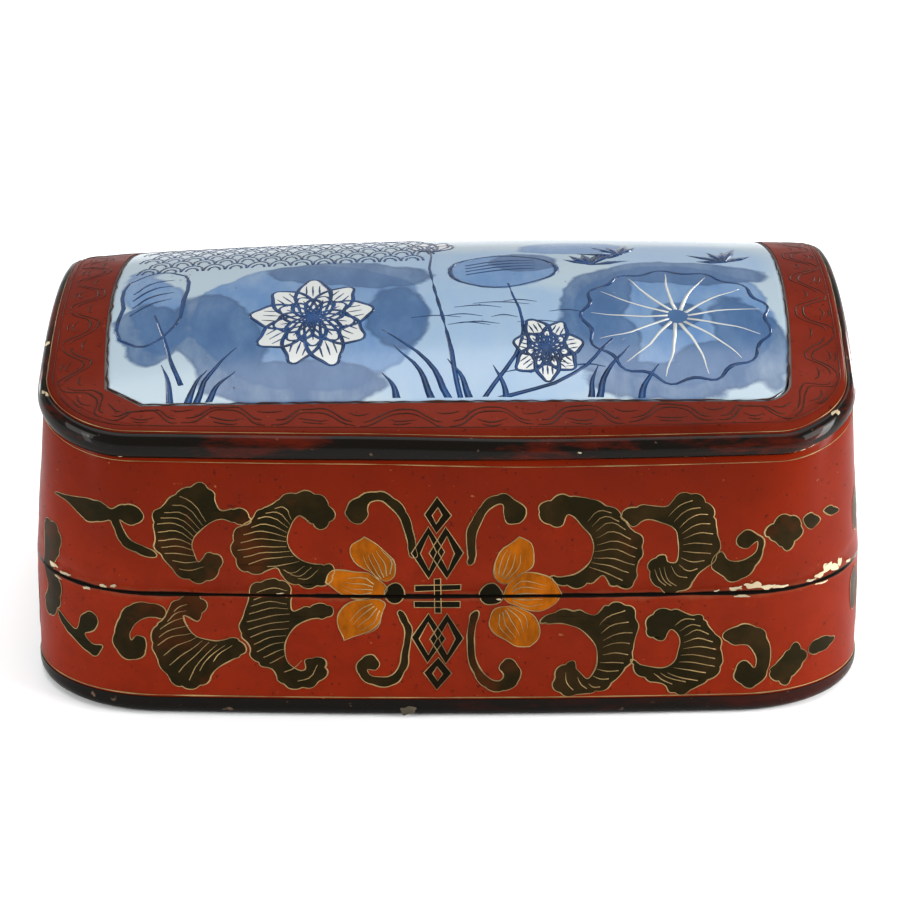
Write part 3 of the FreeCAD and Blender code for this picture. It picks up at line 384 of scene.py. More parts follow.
FINISHES = {
    "wall lacquer": red_lacquer(True),
    "border lacquer": red_lacquer(False),
    # painted shade: a darker copy of the border lacquer for the crown's edge, which the lights
    # strike more
    "edge lacquer": red_lacquer(False, 0.78),
    "black lacquer": black_lacquer(0.3),
    "rubbed black lacquer": black_lacquer(1.0),
    "glazed porcelain": glazed_porcelain,
    "bare glaze": plain_finish("bare", rough=0.22, grain=120.0, uneven=0.08, coat=0.25,
                               bump=0.1, spec=0.22),
    "cobalt": plain_finish("cobalt", rough=0.22, grain=900.0, uneven=0.6, coat=0.15,
                           bump=0.05, spec=0.1),
    "pinhole": plain_finish("leaf", shade=2.0, rough=0.5, uneven=0.4),
    "gold line": plain_finish("gold", rough=0.42, metal=0.15, grain=700.0, uneven=0.6,
                              spec=0.15),
    "incised line": plain_finish("incised", rough=0.5, grain=700.0, uneven=0.6, spec=0.1),
    "leaf lacquer": leaf_lacquer(1.0),
    "fret lacquer": leaf_lacquer(0.1, 0.45),
    "lotus lacquer": lotus_lacquer,
    "grey patch": plain_finish("gesso", shade=0.25, rough=0.7, grain=600.0, spec=0.2),
    "gesso": plain_finish("gesso", rough=0.85, grain=500.0, uneven=0.45, bump=0.5, spec=0.2),
    "inner lacquer": plain_finish("black", shade=2.2, rough=0.3, coat=0.3),
    "putty": plain_finish("black", shade=1.5, rough=0.7, bump=0.4),
    "tray lacquer": grained("wood", 0.8, 0.32),
    "bamboo": grained("bamboo", 1.0, 0.5, (9.0, 9.0, 1.0)),
    "slate": plain_finish("slate", rough=0.55, grain=420.0, uneven=0.35, bump=0.3),
    "pressed ink": plain_finish("ink", rough=0.38, grain=320.0, uneven=0.4, bump=0.3),
    "pad silk": woven("silk", 1.0, 5.0),
    "lining silk": woven("silk", 0.7, 7.0),
}


def finish(name):
    """The material of that name, built the first time it is asked for."""
    return bpy.data.materials.get(name) or FINISHES[name](name).material


# ---------------------------------------------------------------- surfaces

# Distances and heights are in millimetres from here on, up to the finished vertices.

def clamped(value):
    """A share kept between 0 and 1."""
    return max(0.0, min(1.0, value))


def eased(value):
    """A share that starts and stops gently."""
    value = clamped(value)
    return value * value * (3 - 2 * value)


class Plan:
    """The walls' outer plan line: s runs from the middle of the front towards +X."""

    def __init__(self):
        z = sizes()
        self.front, self.end, self.corner = z.front_bow / MM, z.end_bow / MM, z.corner / MM
        self.tighter = {-1: z.tighter_left / MM, 1: z.tighter_right / MM}
        self.front_y = self.front - z.half_depth / MM
        self.end_x = self.end - z.half_width / MM
        a, b = self.front - self.corner, self.end - self.corner
        apart = math.hypot(self.front_y, self.end_x)
        along = (a * a - b * b + apart * apart) / (2 * apart)
        across = math.sqrt(a * a - along * along)
        ux, uy = -self.end_x / apart, -self.front_y / apart
        self.corner_x = along * ux - across * uy
        self.corner_y = self.front_y + along * uy + across * ux
        self.turn_front = math.atan2(self.corner_x, self.front_y - self.corner_y)
        self.turn_end = math.atan2(-self.corner_y, self.corner_x + self.end_x)
        self.front_run = self.front * self.turn_front
        self.corner_run = self.corner * (math.pi / 2 - self.turn_front - self.turn_end)
        self.quarter = self.front_run + self.corner_run + self.end * self.turn_end
        self.whole = 4 * self.quarter

    def swell(self, turn, radius, tighter):
        """How far a corner of the crown stands out beyond the corner below it."""
        half = (math.pi / 2 - self.turn_front - self.turn_end) / 2
        off = abs(turn - self.turn_front - half)
        if half - off < math.atan(tighter * math.tan(half) / radius):
            return radius / math.cos(half - off) - radius
        moved = tighter / math.cos(half)
        along = moved * math.cos(off)
        reach = (radius - tighter) ** 2 - moved ** 2 + along ** 2
        return along + math.sqrt(reach) - radius

    def at(self, s, inset=0.0, share=0.0):
        """Plan point at a distance s along the wall, moved in by an inset, and its normal.

        The share runs from 0 at the seam to 1 at the crown, whose corners are tighter.
        """
        s = (s + self.whole / 2) % self.whole - self.whole / 2
        side_x, s = (1 if s >= 0 else -1), abs(s)
        side_y = 1
        if s > self.quarter:
            s, side_y = 2 * self.quarter - s, -1
        if s <= self.front_run:
            turn, radius, x, y = s / self.front, self.front, 0.0, self.front_y
        elif s <= self.front_run + self.corner_run:
            turn = self.turn_front + (s - self.front_run) / self.corner
            radius, x, y = self.corner, self.corner_x, self.corner_y
            inset -= share * self.swell(turn, radius - inset, self.tighter[side_x])
        else:
            turn = math.pi / 2 - (self.quarter - s) / self.end
            radius, x, y = self.end, -self.end_x, 0.0
        nx, ny = math.sin(turn), -math.cos(turn)
        x, y = x + nx * (radius - inset), y + ny * (radius - inset)
        return (side_x * x, side_y * y), (side_x * nx, side_y * ny)

    def planes(self, inset):
        """Upright planes that trim a flat grid to the plan, as (point, outward normal)."""
        corner = [self.front_run + self.corner_run * k / 9 for k in range(10)]
        front = [self.front_run * k / 4 for k in range(4)]
        half = front + corner + [self.quarter]
        half += [2 * self.quarter - s for s in half[-2::-1]]
        return [self.at(s, inset) for s in half + [-s for s in half[1:-1]]]


def lean(height):
    """How far the lid wall leans in at a height."""
    z = sizes()
    seam = z.seam / MM
    return z.lid_lean / MM * max(0.0, height - seam) / (z.crown_edge / MM - seam)


def squareness(height):
    """How much of the crown's tighter corners the lid wall has at a height."""
    z = sizes()
    return clamped((height * MM - z.seam) / (z.crown_edge - z.seam))


def arch(y, rise, back_drop=0.0, lift=0.0):
    """Height of one cross section of the crown: an arc over the walls."""
    z = sizes()
    half, margin = z.half_depth / MM, z.margin / MM
    reach = half + margin
    radius = (rise * rise + half * half) / (2 * rise)
    side = z.crown_edge / MM + lift + rise - radius + math.sqrt(radius ** 2 - reach ** 2)
    front = side + back_drop * margin / (2 * half)
    back = side - back_drop * (margin + 2 * half) / (2 * half)
    slope = math.atan2(back - front, 2 * reach)
    below = math.sqrt(radius ** 2 - (reach / math.cos(slope)) ** 2)
    centre_y = below * math.sin(slope)
    centre_z = (front + back) / 2 - below * math.cos(slope)
    return centre_z + math.sqrt(radius ** 2 - (y - centre_y) ** 2)


def crown(x, y):
    """Height of the crown's surface, through three arches."""
    z = sizes()
    left = arch(y, z.rise_left / MM, z.back_drop / MM)
    middle = arch(y, z.rise_middle / MM, 0.0, z.crown_lift / MM)
    right = arch(y, z.rise_right / MM)
    t = x / (z.half_width / MM + z.margin / MM)
    return middle + t * (right - left) / 2 + t * t * ((left + right) / 2 - middle)


def vault(y):
    """Height of the lining on the plain arch inside the lid."""
    z = sizes()
    return arch(y, z.rise_left / MM, z.back_drop / MM / 2) - LINING_DROP


def on_wall(s, height, out):
    """Place in metres on the walls, at a distance outside them."""
    (x, y), _ = PLAN.at(s, lean(height) - out, squareness(height))
    return Vector((x, y, height)) * MM


def on_crown(x, y, out):
    """Place in metres on the crown, at a distance above it."""
    return Vector((x, y, crown(x, y) + out)) * MM


# ---------------------------------------------------------------- mesh helpers

def linked(name, data):
    """New object in the scene's collection."""
    made = bpy.data.objects.new(name, data)
    bpy.context.collection.objects.link(made)
    return made


def keep(name, bm, body, finish_name):
    """Turn a bmesh in metres into a piece that rides on a body."""
    mesh = bpy.data.meshes.new(name)
    bm.normal_update()
    bm.to_mesh(mesh)
    bm.free()
    mesh.shade_smooth()
    mesh.materials.append(finish(finish_name))
    piece = linked(name, mesh)
    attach(piece, body)
    return piece


def trim(bm, planes, near=None):
    """Cut away what lies outside upright planes given as ((x, y), (nx, ny)).

    Where near is given, only faces so near to a plane or beyond it are cut.
    """
    for (x, y), (nx, ny) in planes:
        point, normal = Vector((x, y, 0)), Vector((nx, ny, 0))
        faces = bm.faces[:]
        if near is not None:
            faces = [f for f in faces
                     if abs((f.calc_center_median() - point).dot(normal)) < near
                     or (f.calc_center_median() - point).dot(normal) > 0]
        parts = {*faces}
        for face in faces:
            parts.update(face.edges)
            parts.update(face.verts)
        bmesh.ops.bisect_plane(bm, geom=list(parts), dist=1e-4, plane_co=point,
                               plane_no=normal, clear_outer=True)


def flat_grid(half_x, half_y, step):
    """Flat grid round the origin, in millimetres."""
    bm = bmesh.new()
    bmesh.ops.create_grid(bm, x_segments=max(1, round(2 * half_x / step)),
                          y_segments=max(1, round(2 * half_y / step)), size=1.0)
    bmesh.ops.scale(bm, vec=(half_x, half_y, 1.0), verts=bm.verts)
    return bm


def walled(bm, drop):
    """Give an open sheet a rim that hangs down, for a slab whose underside is hidden."""
    edges = [e for e in bm.edges if e.is_boundary]
    made = bmesh.ops.extrude_edge_only(bm, edges=edges)
    verts = [v for v in made["geom"] if isinstance(v, bmesh.types.BMVert)]
    bmesh.ops.translate(bm, verts=verts, vec=(0, 0, -drop))


def filled(shapes, detail=4, tips=()):
    """Flat filled shapes; each is made by itself, so that they may overlap."""
    return joined([raised(strokes([shape], detail=detail, tips=tips), layered(k))
                   for k, shape in enumerate(shapes)])


def wobble(bm, reach, pitch, seed):
    """Move flat ornament a little to and fro, as a brush or a graver does."""
    for vert in bm.verts:
        x, y = vert.co.x / pitch, vert.co.y / pitch
        vert.co.x += reach * noise.noise((x, y, seed))
        vert.co.y += reach * noise.noise((x, y, seed + 20.0))
    return bm


def pen(width):
    """Curve for lines of a width, or for filled shapes where it is 0."""
    curve = bpy.data.curves.new("pen", "CURVE")
    if width:
        curve.dimensions = "3D"
        curve.twist_mode = "Z_UP"
        curve.bevel_depth = width / 2
        curve.bevel_resolution = 0
    else:
        curve.dimensions = "2D"
        curve.fill_mode = "BOTH"
    return curve


def drawn(curve):
    """Bmesh of a curve, which is then removed."""
    made = linked("pen", curve)
    graph = bpy.context.evaluated_depsgraph_get()
    mesh = bpy.data.meshes.new_from_object(made.evaluated_get(graph))
    bm = bmesh.new()
    bm.from_mesh(mesh)
    bpy.data.objects.remove(made)
    bpy.data.curves.remove(curve)
    bpy.data.meshes.remove(mesh)
    return bm


def strokes(lines, closed=False, width=0.0, detail=4, tips=()):
    """Rounded brush strokes, or filled shapes where width is 0; tips name sharp points.

    A line is its points, or its points and how thick it is at each of them.
    """
    curve = pen(width)
    curve.resolution_u = detail
    curve.use_fill_caps = bool(width) and not closed
    for line in lines:
        points, swell = line if isinstance(line, tuple) else (line, None)
        spline = curve.splines.new("BEZIER")
        spline.bezier_points.add(len(points) - 1)
        for k, (knot, point) in enumerate(zip(spline.bezier_points, points)):
            knot.co = (point[0], point[1], 0.0)
            knot.handle_left_type = knot.handle_right_type = "VECTOR" if k in tips else "AUTO"
            if swell is not None:
                knot.radius = swell[k] if k < len(swell) else swell[-1]
        spline.use_cyclic_u = closed or not width
    bm = drawn(curve)
    bmesh.ops.remove_doubles(bm, verts=bm.verts, dist=0.002)
    return bm


def angular(shapes, width=0.0, uneven=False):
    """Straight-sided shapes, filled, or as lines of a width, thick and thin if uneven."""
    curve = pen(width)
    for shape in shapes:
        spline = curve.splines.new("POLY")
        spline.points.add(len(shape) - 1)
        for knot, (x, y) in zip(spline.points, shape):
            knot.co = (x, y, 0, 1)
            if uneven:
                knot.radius = 0.8 + 0.9 * noise.noise((x * 0.22, y * 0.22, 3.0))
        spline.use_cyclic_u = True
    return drawn(curve)


def layered(k, layers=4):
    """Small height that keeps shapes that overlap apart."""
    return 0.004 * (k % layers)


def raised(bm, height):
    """Move a flat bmesh up."""
    for vert in bm.verts:
        vert.co.z += height
    return bm


def slice_up(bm, axis, places):
    """Cut a flat bmesh across one axis at each place, so that it can be bent."""
    if not bm.verts:
        return
    normal = Vector((0, 0, 0))
    normal[axis] = 1.0
    low = min(v.co[axis] for v in bm.verts)
    high = max(v.co[axis] for v in bm.verts)
    for place in places:
        if low < place < high:
            bmesh.ops.bisect_plane(bm, geom=[*bm.verts, *bm.edges, *bm.faces], dist=1e-4,
                                   plane_co=normal * place, plane_no=normal)


def bend_places():
    """Distances along the wall at which ornament is cut so that it follows the corners."""
    places = []
    fine, coarse = 2.4, 12.0
    start, run = PLAN.front_run, PLAN.corner_run
    for middle in (2 * PLAN.quarter * half for half in range(-2, 2)):
        for side in (1, -1):
            places += [middle + side * (start + fine * k) for k in range(int(run / fine) + 2)]
            places += [middle + side * coarse * k for k in range(int(start / coarse) + 1)]
    return sorted(set(round(p, 3) for p in places))


def wrap_on_walls(name, flat, finish_name, out, relief):
    """Bend flat ornament (s, height) round the walls, parted at the seam.

    Out is how far it lies outside them, and relief how much of its own thickness it keeps.
    """
    seam = sizes().seam / MM
    slice_up(flat, 0, bend_places())
    slice_up(flat, 1, [seam + 4.5 * k for k in range(1, 9)])
    for bm, body, side in ((flat, "lid", 1), (flat.copy(), "base", -1)):
        bmesh.ops.bisect_plane(bm, geom=[*bm.verts, *bm.edges, *bm.faces], dist=1e-4,
                               plane_co=(0, seam + side * SEAM_GAP, 0), plane_no=(0, side, 0),
                               clear_inner=True)
        if not bm.verts:
            bm.free()
            continue
        for vert in bm.verts:
            s, height, lift = vert.co
            vert.co = on_wall(s, height, out + lift * relief)
        keep(f"{name}_{body}", bm, body, finish_name)


def wrap_on_crown(name, flat, finish_name, out, relief=0.0, step=0.0):
    """Lay flat ornament (x, y) on the crown; step is how finely it is cut up to bend."""
    for axis in (0, 1) if step else ():
        low = min(v.co[axis] for v in flat.verts)
        high = max(v.co[axis] for v in flat.verts)
        count = int((high - low) / step)
        slice_up(flat, axis, [low + step * (k + 0.5) for k in range(count)])
    for vert in flat.verts:
        x, y, lift = vert.co
        vert.co = on_crown(x, y, out + lift * relief)
    keep(name, flat, "lid", finish_name)


def joined(bms):
    """Several bmeshes as one."""
    whole = bmesh.new()
    for bm in bms:
        mesh = bpy.data.meshes.new("part")
        bm.to_mesh(mesh)
        bm.free()
        whole.from_mesh(mesh)
        bpy.data.meshes.remove(mesh)
    return whole


def shifted(points, along, mirror=False):
    """Ornament outline moved along the wall, or mirrored there first."""
    sign = -1 if mirror else 1
    return [(along + sign * s, z) for s, z in points]


# ---------------------------------------------------------------- ornament

# Outlines of the painted ornament: distance along the wall from the middle of the front,
# and height, in millimetres.

LEAVES = {
    "scroll upper end": [(-99.1, 52.5), (-92.4, 53.3), (-87.3, 54.2), (-83.4, 53.7), (-80.8,
    52.3), (-78.6, 53.4), (-76, 53.9), (-73.1, 53.1), (-72.6, 50.9), (-74.4, 49), (-77, 49.1),
    (-78.4, 49.9), (-77.6, 47.3), (-75, 44.5), (-70.1, 42.2), (-70.1, 40.7), (-74.3, 41.5),
    (-78.1, 44), (-80.5, 47.9), (-81.3, 49.5), (-84.2, 48.6), (-87.8, 48.1), (-90.5, 49.8),
    (-94.3, 51.6)],
    "leaf upper outer left": [(-69.8, 45.7), (-70.1, 51.2), (-68, 53.7), (-65.3, 56.5), (-59.8,
    59.3), (-56.5, 58.1), (-55.1, 54.7), (-53.7, 52.9), (-50.1, 53.5), (-47.1, 50.6), (-49.9,
    49.5), (-54, 50.7), (-57.1, 49.4), (-60, 47.1), (-61, 44.1), (-60.5, 41.9), (-59.3, 39.9),
    (-57.2, 42), (-55.3, 42), (-54.1, 40), (-54.6, 37.5), (-57.3, 35.2), (-60.9, 35.1), (-64.2,
    36.8), (-67.7, 40.3), (-69.6, 43)],
    "leaf upper inner left": [(-47.1, 50.6), (-45.1, 52.6), (-41.5, 54.8), (-38.4, 56.8),
    (-33.9, 57.6), (-29.9, 56.7), (-27.3, 52.7), (-28.5, 49.8), (-31.2, 48.7), (-34.2, 51.2),
    (-35.6, 51.7), (-37.1, 49.7), (-38.1, 46.4), (-37.4, 43.2), (-35.7, 41.2), (-32.7, 39.8),
    (-28.1, 39.6), (-27.4, 37.1), (-28.9, 35.1), (-32.2, 34), (-35.8, 34.5), (-39.1, 36.5),
    (-40.8, 38.7), (-44.8, 37.6), (-48.6, 38.1), (-50.8, 40.6), (-51.4, 44.3), (-49.9, 48.5)],
    "leaf far left": [(-105.3, 43), (-100, 44.3), (-97, 41.7), (-97.6, 37.4), (-99.6, 33.1),
    (-97.4, 30.2), (-96.8, 26.2), (-98.8, 21.8), (-103.3, 19.1), (-105.7, 21.9), (-103.8, 26.6),
    (-105.4, 31.3), (-105.2, 36.5)],
    "scroll lower end": [(-98.8, 21.8), (-95.5, 20.8), (-91.9, 19.3), (-89.7, 23.1), (-86.8,
    24.9), (-84.8, 23.2), (-86.1, 20.3), (-88.6, 18.9), (-86.8, 17), (-83.7, 16.6), (-85.5,
    13.6), (-88.8, 14.4), (-92, 16.1), (-96.4, 18.4)],
    "scroll lower left": [(-67.9, 28.1), (-73.4, 29.5), (-77.7, 27), (-79.9, 22.8), (-80.6,
    18.7), (-79.1, 15.3), (-75.9, 14.1), (-72.8, 16.4), (-72.7, 20.1), (-74.7, 20.8), (-76.2,
    19.3), (-76.7, 21.1), (-75.1, 23.9), (-71.6, 25.7), (-68.5, 25.5)],
    "leaf lower outer left": [(-60.7, 31.6), (-64.3, 30.8), (-66.5, 28.1), (-68.5, 25.2),
    (-70.5, 22.6), (-71.1, 19.1), (-70.2, 15.5), (-68.8, 12.1), (-66.5, 8.9), (-64.4, 7.4),
    (-61.2, 7.5), (-57.8, 9.1), (-55.3, 12.6), (-52.2, 14.8), (-48.5, 16.9), (-49.9, 20.1),
    (-52.5, 20.5), (-56.1, 19.7), (-60, 20.7), (-62.5, 23.2), (-63.4, 26.1), (-61.3, 25.4),
    (-59.4, 25.4), (-57.9, 28.3), (-58.8, 30.9)],
    "leaf lower inner left": [(-47.3, 32.4), (-45.8, 34.9), (-42.7, 35.7), (-39.6, 35.7),
    (-37.5, 33.5), (-37.3, 30.2), (-36.8, 27.6), (-33.7, 29.2), (-28.2, 29.5), (-28.3, 26.3),
    (-32.8, 25.8), (-35.9, 24.2), (-38.4, 21), (-39.4, 17.6), (-38.5, 14.2), (-36.1, 12.4),
    (-34.4, 12.6), (-34.1, 14.7), (-32, 15.6), (-29.6, 14.8), (-29.4, 11.6), (-31.6, 8.7),
    (-34.7, 7.3), (-38.6, 7.8), (-40.7, 9.9), (-42.1, 12.8), (-45.2, 13.6), (-47.1, 15.9),
    (-47.5, 18.5), (-49.6, 21.9), (-49.3, 25.6), (-48, 30)],
    "leaf upper inner right": [(21.5, 53.2), (23.4, 55.4), (27.4, 56.6), (31.4, 56.1), (36, 55),
    (40.3, 52.5), (43.1, 48.5), (45.8, 45.7), (46.1, 42), (44.9, 39), (44.5, 35.2), (42.3,
    33.8), (39, 34.3), (36.8, 36.9), (34, 34.9), (28.5, 34), (24, 36.5), (27.5, 36.5), (30.6,
    37.7), (33.9, 40.6), (34.6, 44.4), (32, 49.1), (28.4, 52.1), (27, 49.7), (24.1, 49.2), (22,
    51)],
    "leaf upper outer right": [(41, 52), (44.8, 53.9), (51.2, 53.8), (54, 56), (57.1, 56.9),
    (60.2, 55.9), (63.1, 52.6), (63.9, 48.6), (64.4, 44.9), (64, 41.6), (61.9, 38.7), (59.7,
    37), (56.9, 33.5), (53.8, 32.1), (50.5, 33.1), (48.3, 36.2), (47.8, 38.9), (49.4, 41.4),
    (51.8, 41.4), (52.3, 39.9), (54.2, 39.8), (54.9, 42.3), (54.6, 45.1), (53.6, 48.1), (50.8,
    49.6), (47.2, 50.7), (43.6, 49)],
    "curl upper right": [(64.7, 42.6), (66.9, 40.1), (70.2, 40), (73.4, 41.9), (73.9, 44.6),
    (71.9, 43.2), (69.7, 43.2), (68.5, 45), (69.6, 47), (71.8, 47.4), (74.4, 46), (75.4, 43.5),
    (73.9, 38.8), (71.5, 35.9), (67.9, 35), (64.8, 36.4), (62.4, 38.7)],
    "leaf upper end": [(75.4, 46), (77.2, 49), (80.4, 50.6), (84.1, 49.1), (85.3, 46.4), (83.5,
    43.4), (80.9, 41.8), (77.7, 44.2)],
    "bud one": [(85.3, 48.9), (87.8, 50.3), (90.4, 47.7), (87.7, 46.1)],
    "bud two": [(91.2, 49.6), (94.2, 50.3), (97.4, 48.3), (94.1, 47.8)],
    "leaf lower inner right": [(21.7, 25.3), (26.2, 27.6), (30.7, 28), (35, 26.7), (37.4, 29),
    (41, 29.7), (44.3, 27.8), (45.1, 24.4), (44.7, 20.8), (44.1, 15.8), (42.7, 12.9), (39.8,
    9.3), (36.7, 6.9), (31.7, 6.2), (27.8, 5.7), (25.4, 7.6), (25.4, 10.5), (27.3, 13.7), (30.1,
    14.4), (31.4, 12), (33.3, 9.9), (35.4, 13), (35.1, 18.6), (32.2, 22.5), (28.6, 24.1)],
    "leaf lower outer right": [(47.5, 23.3), (48.4, 26.7), (51.5, 28.2), (54.9, 27.6), (57.5,
    26.5), (60.7, 25.9), (62.7, 23), (65.2, 19.6), (65.7, 15.9), (65.3, 11.9), (63, 9.3), (59.9,
    7.5), (56.6, 5.5), (53.4, 6.1), (51.9, 8.2), (48.8, 9.1), (45.3, 11.3), (43.8, 14.7), (46.7,
    13.4), (50.9, 12.8), (54.2, 14.5), (55.6, 18.2), (55, 21.1), (53.1, 22.7), (51.2, 20.1),
    (48.5, 20.7)],
    "scroll lower right": [(65.8, 20.8), (68.2, 22.9), (71.3, 23.6), (75.3, 22), (77.1, 18.4),
    (77.3, 13.7), (76.2, 9.3), (73.2, 6.6), (70.5, 7.3), (68.8, 9.7), (69.9, 13.4), (72.1,
    14.1), (73.8, 12.1), (74, 15), (72, 17.8), (68.3, 18.4)],
    "leaf lower end": [(77.4, 10.7), (78.5, 8.5), (81.7, 6.6), (83.6, 8.1), (87.5, 12.8), (84.4,
    16.7), (82, 15.6), (80.4, 13.7)],
    "bud three": [(88.1, 14.2), (90.9, 16.6), (97.5, 15.1), (94.7, 12.8), (90.4, 12.5)],
    "arm upper left": [(-24.2, 53.7), (-22.8, 55.7), (-19.2, 57.7), (-14.7, 57.2), (-11, 54.5),
    (-8.8, 50.3), (-7.7, 44.6), (-7.4, 41.9), (-9.1, 41.9), (-9.6, 44.6), (-10.7, 48.8), (-12.6,
    52.8), (-15.5, 55.3), (-18.1, 55.3), (-19, 54), (-19, 51.8), (-20.5, 50.1), (-22.8, 50.5),
    (-24.3, 52.3)],
    "arm upper right": [(18.2, 52.7), (16.7, 55), (13.7, 57.2), (9.9, 56.5), (6.6, 53), (4.7,
    48.3), (4.4, 40.4), (6.1, 40.4), (6.3, 44.6), (7.3, 48.8), (8.9, 52.5), (11.3, 54.5), (13,
    54.5), (13.2, 52.3), (14.4, 50), (16.8, 50)],
    "arm lower left": [(-12, 27.7), (-10.1, 27.2), (-8.9, 23), (-9.2, 17.3), (-10.4, 12),
    (-13.3, 8.6), (-17.6, 8.3), (-21, 10.4), (-21.9, 13.5), (-20.5, 15.9), (-18.1, 16.2),
    (-16.6, 14.3), (-17.6, 12.5), (-19.3, 12.8), (-18.1, 10.9), (-14.5, 10.9), (-12.1, 13.3),
    (-10.9, 17.8), (-10.8, 23)],
    "arm lower right": [(7.3, 27.7), (5.6, 27.2), (4.5, 23), (4.5, 17.2), (5.7, 12), (8.8, 8),
    (13.1, 6.9), (16.3, 8.7), (17.2, 12.4), (15.7, 15.1), (13.3, 15.1), (12.2, 13), (13.4,
    10.9), (12.4, 9.6), (9.8, 10.4), (7.4, 13.3), (6.4, 17.8), (6.4, 23)],
}

PETALS = {
    "upper left": [(-19.8, 46.6), (-15.3, 43.6), (-13.2, 39.6), (-13.4, 35.9), (-17.2, 36.9),
    (-21.5, 39.8), (-23.4, 43.6)],
    "side left": [(-29.4, 35.1), (-28.4, 37.6), (-25.1, 38.6), (-21.7, 38.1), (-18.2, 36.9),
    (-15.3, 34.9), (-15.3, 32.4), (-18.7, 31.3), (-23.4, 31.3), (-26.8, 32.8)],
    "lower left": [(-25, 20.3), (-26.4, 24.8), (-25.8, 28.2), (-23.4, 30.3), (-19.4, 30.8),
    (-15.3, 30.3), (-15.3, 28.2), (-16.8, 25.1), (-20.4, 21.9)],
    "upper right": [(17, 46.5), (20.4, 44), (20.6, 40.8), (18.5, 37.6), (14.7, 35.3), (11.6,
    35.8), (10.9, 38.9), (12, 42.3)],
    "side right": [(27.1, 32.2), (25.2, 35.7), (22.5, 37.3), (19.4, 37.5), (15.2, 35.8), (13.3,
    33.8), (13.3, 31.3), (16.6, 29.2), (20.9, 28.1), (24.7, 29.1)],
    "lower right": [(19.6, 18.2), (21.9, 21.6), (21.2, 25.5), (18, 28.2), (13.7, 29.2), (10.9,
    28.7), (9.7, 26.1), (10.9, 22.2), (14.8, 19.6)],
}

EYES = {
    "left": [(-12.9, 35.1), (-10.8, 33.9), (-10.6, 31.4), (-13, 30.1), (-15.1, 31.4), (-15.1,
    33.9)],
    "right": [(10.2, 35.1), (12.5, 33.8), (12.8, 30.8), (10.2, 29.5), (7.8, 30.8), (7.8, 33.9)],
}

RIBS = [
    [(-57.3, 50.2), (-60.8, 54.6), (-63.6, 56)],
    [(-59.2, 48.4), (-63.7, 52.3), (-67.5, 52.2)],
    [(-60.4, 46.1), (-64.9, 49.3), (-69.2, 49.2)],
    [(-60.7, 43.9), (-65, 45.6), (-69.1, 45.2)],
    [(-60.3, 41.4), (-64.3, 42.1), (-67.7, 42)],
    [(-57.9, 38.7), (-61.1, 37.9), (-63.9, 38.3)],
    [(-37.1, 50.7), (-39.2, 53.9), (-41.1, 53.6)],
    [(-37.8, 48.7), (-42.3, 51.4), (-45.2, 50.8)],
    [(-38.5, 46.4), (-44.2, 48.1), (-48.8, 46.8)],
    [(-38.1, 44), (-44.3, 44.1), (-50, 43.1)],
    [(-36.9, 41.7), (-42.4, 41.2), (-47.4, 39.9)],
    [(-34.1, 39.3), (-37.2, 37.5), (-38.9, 38.2)],
    [(-31, 38.3), (-33.4, 36), (-35.8, 36.2)],
    [(-62.4, 29.5), (-64.1, 28.7), (-65.6, 27.1)],
    [(-63.2, 25.6), (-66.6, 24.5), (-69.1, 22.3)],
    [(-61.6, 22), (-66.2, 20.6), (-69.6, 18.4)],
    [(-58.8, 19.6), (-63.2, 16.7), (-66.9, 12.9)],
    [(-55.4, 18.7), (-59.6, 14.1), (-62.6, 9.3)],
    [(-51.8, 18.7), (-55.3, 16), (-56.3, 14.2)],
    [(-38.4, 33.2), (-42, 33.7), (-45.4, 32.6)],
    [(-38.2, 29.6), (-43, 30.1), (-47.3, 29)],
    [(-37.6, 26.8), (-43.1, 26.2), (-47.9, 24.8)],
    [(-37.9, 23.4), (-42.7, 22.8), (-47.2, 20.9)],
    [(-39.3, 19.7), (-42.7, 18.9), (-45.9, 17)],
    [(-38.9, 16.3), (-41.1, 15.2), (-42.8, 14.4)],
    [(-31.3, 13.7), (-33.7, 10.3), (-36.1, 9.4)],
    [(33.1, 50.6), (36, 53), (38.8, 52.3)],
    [(34.8, 47.6), (38.9, 49.8), (42.2, 48)],
    [(35.3, 44.4), (40.3, 45.3), (44.9, 43.5)],
    [(34.6, 41.1), (39.6, 40.8), (44.2, 39.3)],
    [(33.2, 38.9), (37.5, 37.6), (41.4, 35.5)],
    [(52.2, 51.1), (55, 54), (57.8, 54.9)],
    [(54.8, 48.5), (58.6, 51.4), (61.9, 51.4)],
    [(55.8, 45.5), (59.8, 46.9), (63.2, 46.4)],
    [(55.9, 42.3), (59.4, 42), (62.5, 41.9)],
    [(54.9, 39.3), (57.1, 37.8), (59.3, 38.2)],
    [(51.4, 38.4), (52.4, 35.4), (54.3, 33.8)],
    [(49.2, 37.9), (50.2, 35.4), (51.7, 34.1)],
    [(36.3, 24), (39.1, 26.6), (42.2, 27.6)],
    [(37, 20.1), (40.6, 21.9), (43.7, 21.8)],
    [(36.8, 16.2), (40.2, 16.6), (43.1, 16.1)],
    [(35.7, 12.5), (38.3, 11.9), (40.8, 11.9)],
    [(33.6, 8.8), (35, 8), (36.7, 8)],
    [(28.3, 11.8), (28.3, 9.2), (29.7, 7.3)],
    [(54.2, 23.7), (56.4, 25.3), (58.8, 25.2)],
    [(56.5, 20.8), (59.6, 22.3), (62.5, 21.2)],
    [(56.5, 17.4), (60.4, 18.1), (64.3, 16.9)],
    [(55.4, 14), (59.8, 13.4), (63.9, 12.7)],
    [(52.6, 11.4), (56.2, 9.7), (60.1, 9.1)],
    [(49.2, 11.2), (51.4, 9.6), (53.8, 8.2)],
]

END_LEAVES = ("leaf upper outer left", "leaf upper inner left", "leaf lower outer left",
              "leaf lower inner left")


# ---------------------------------------------------------------- operators

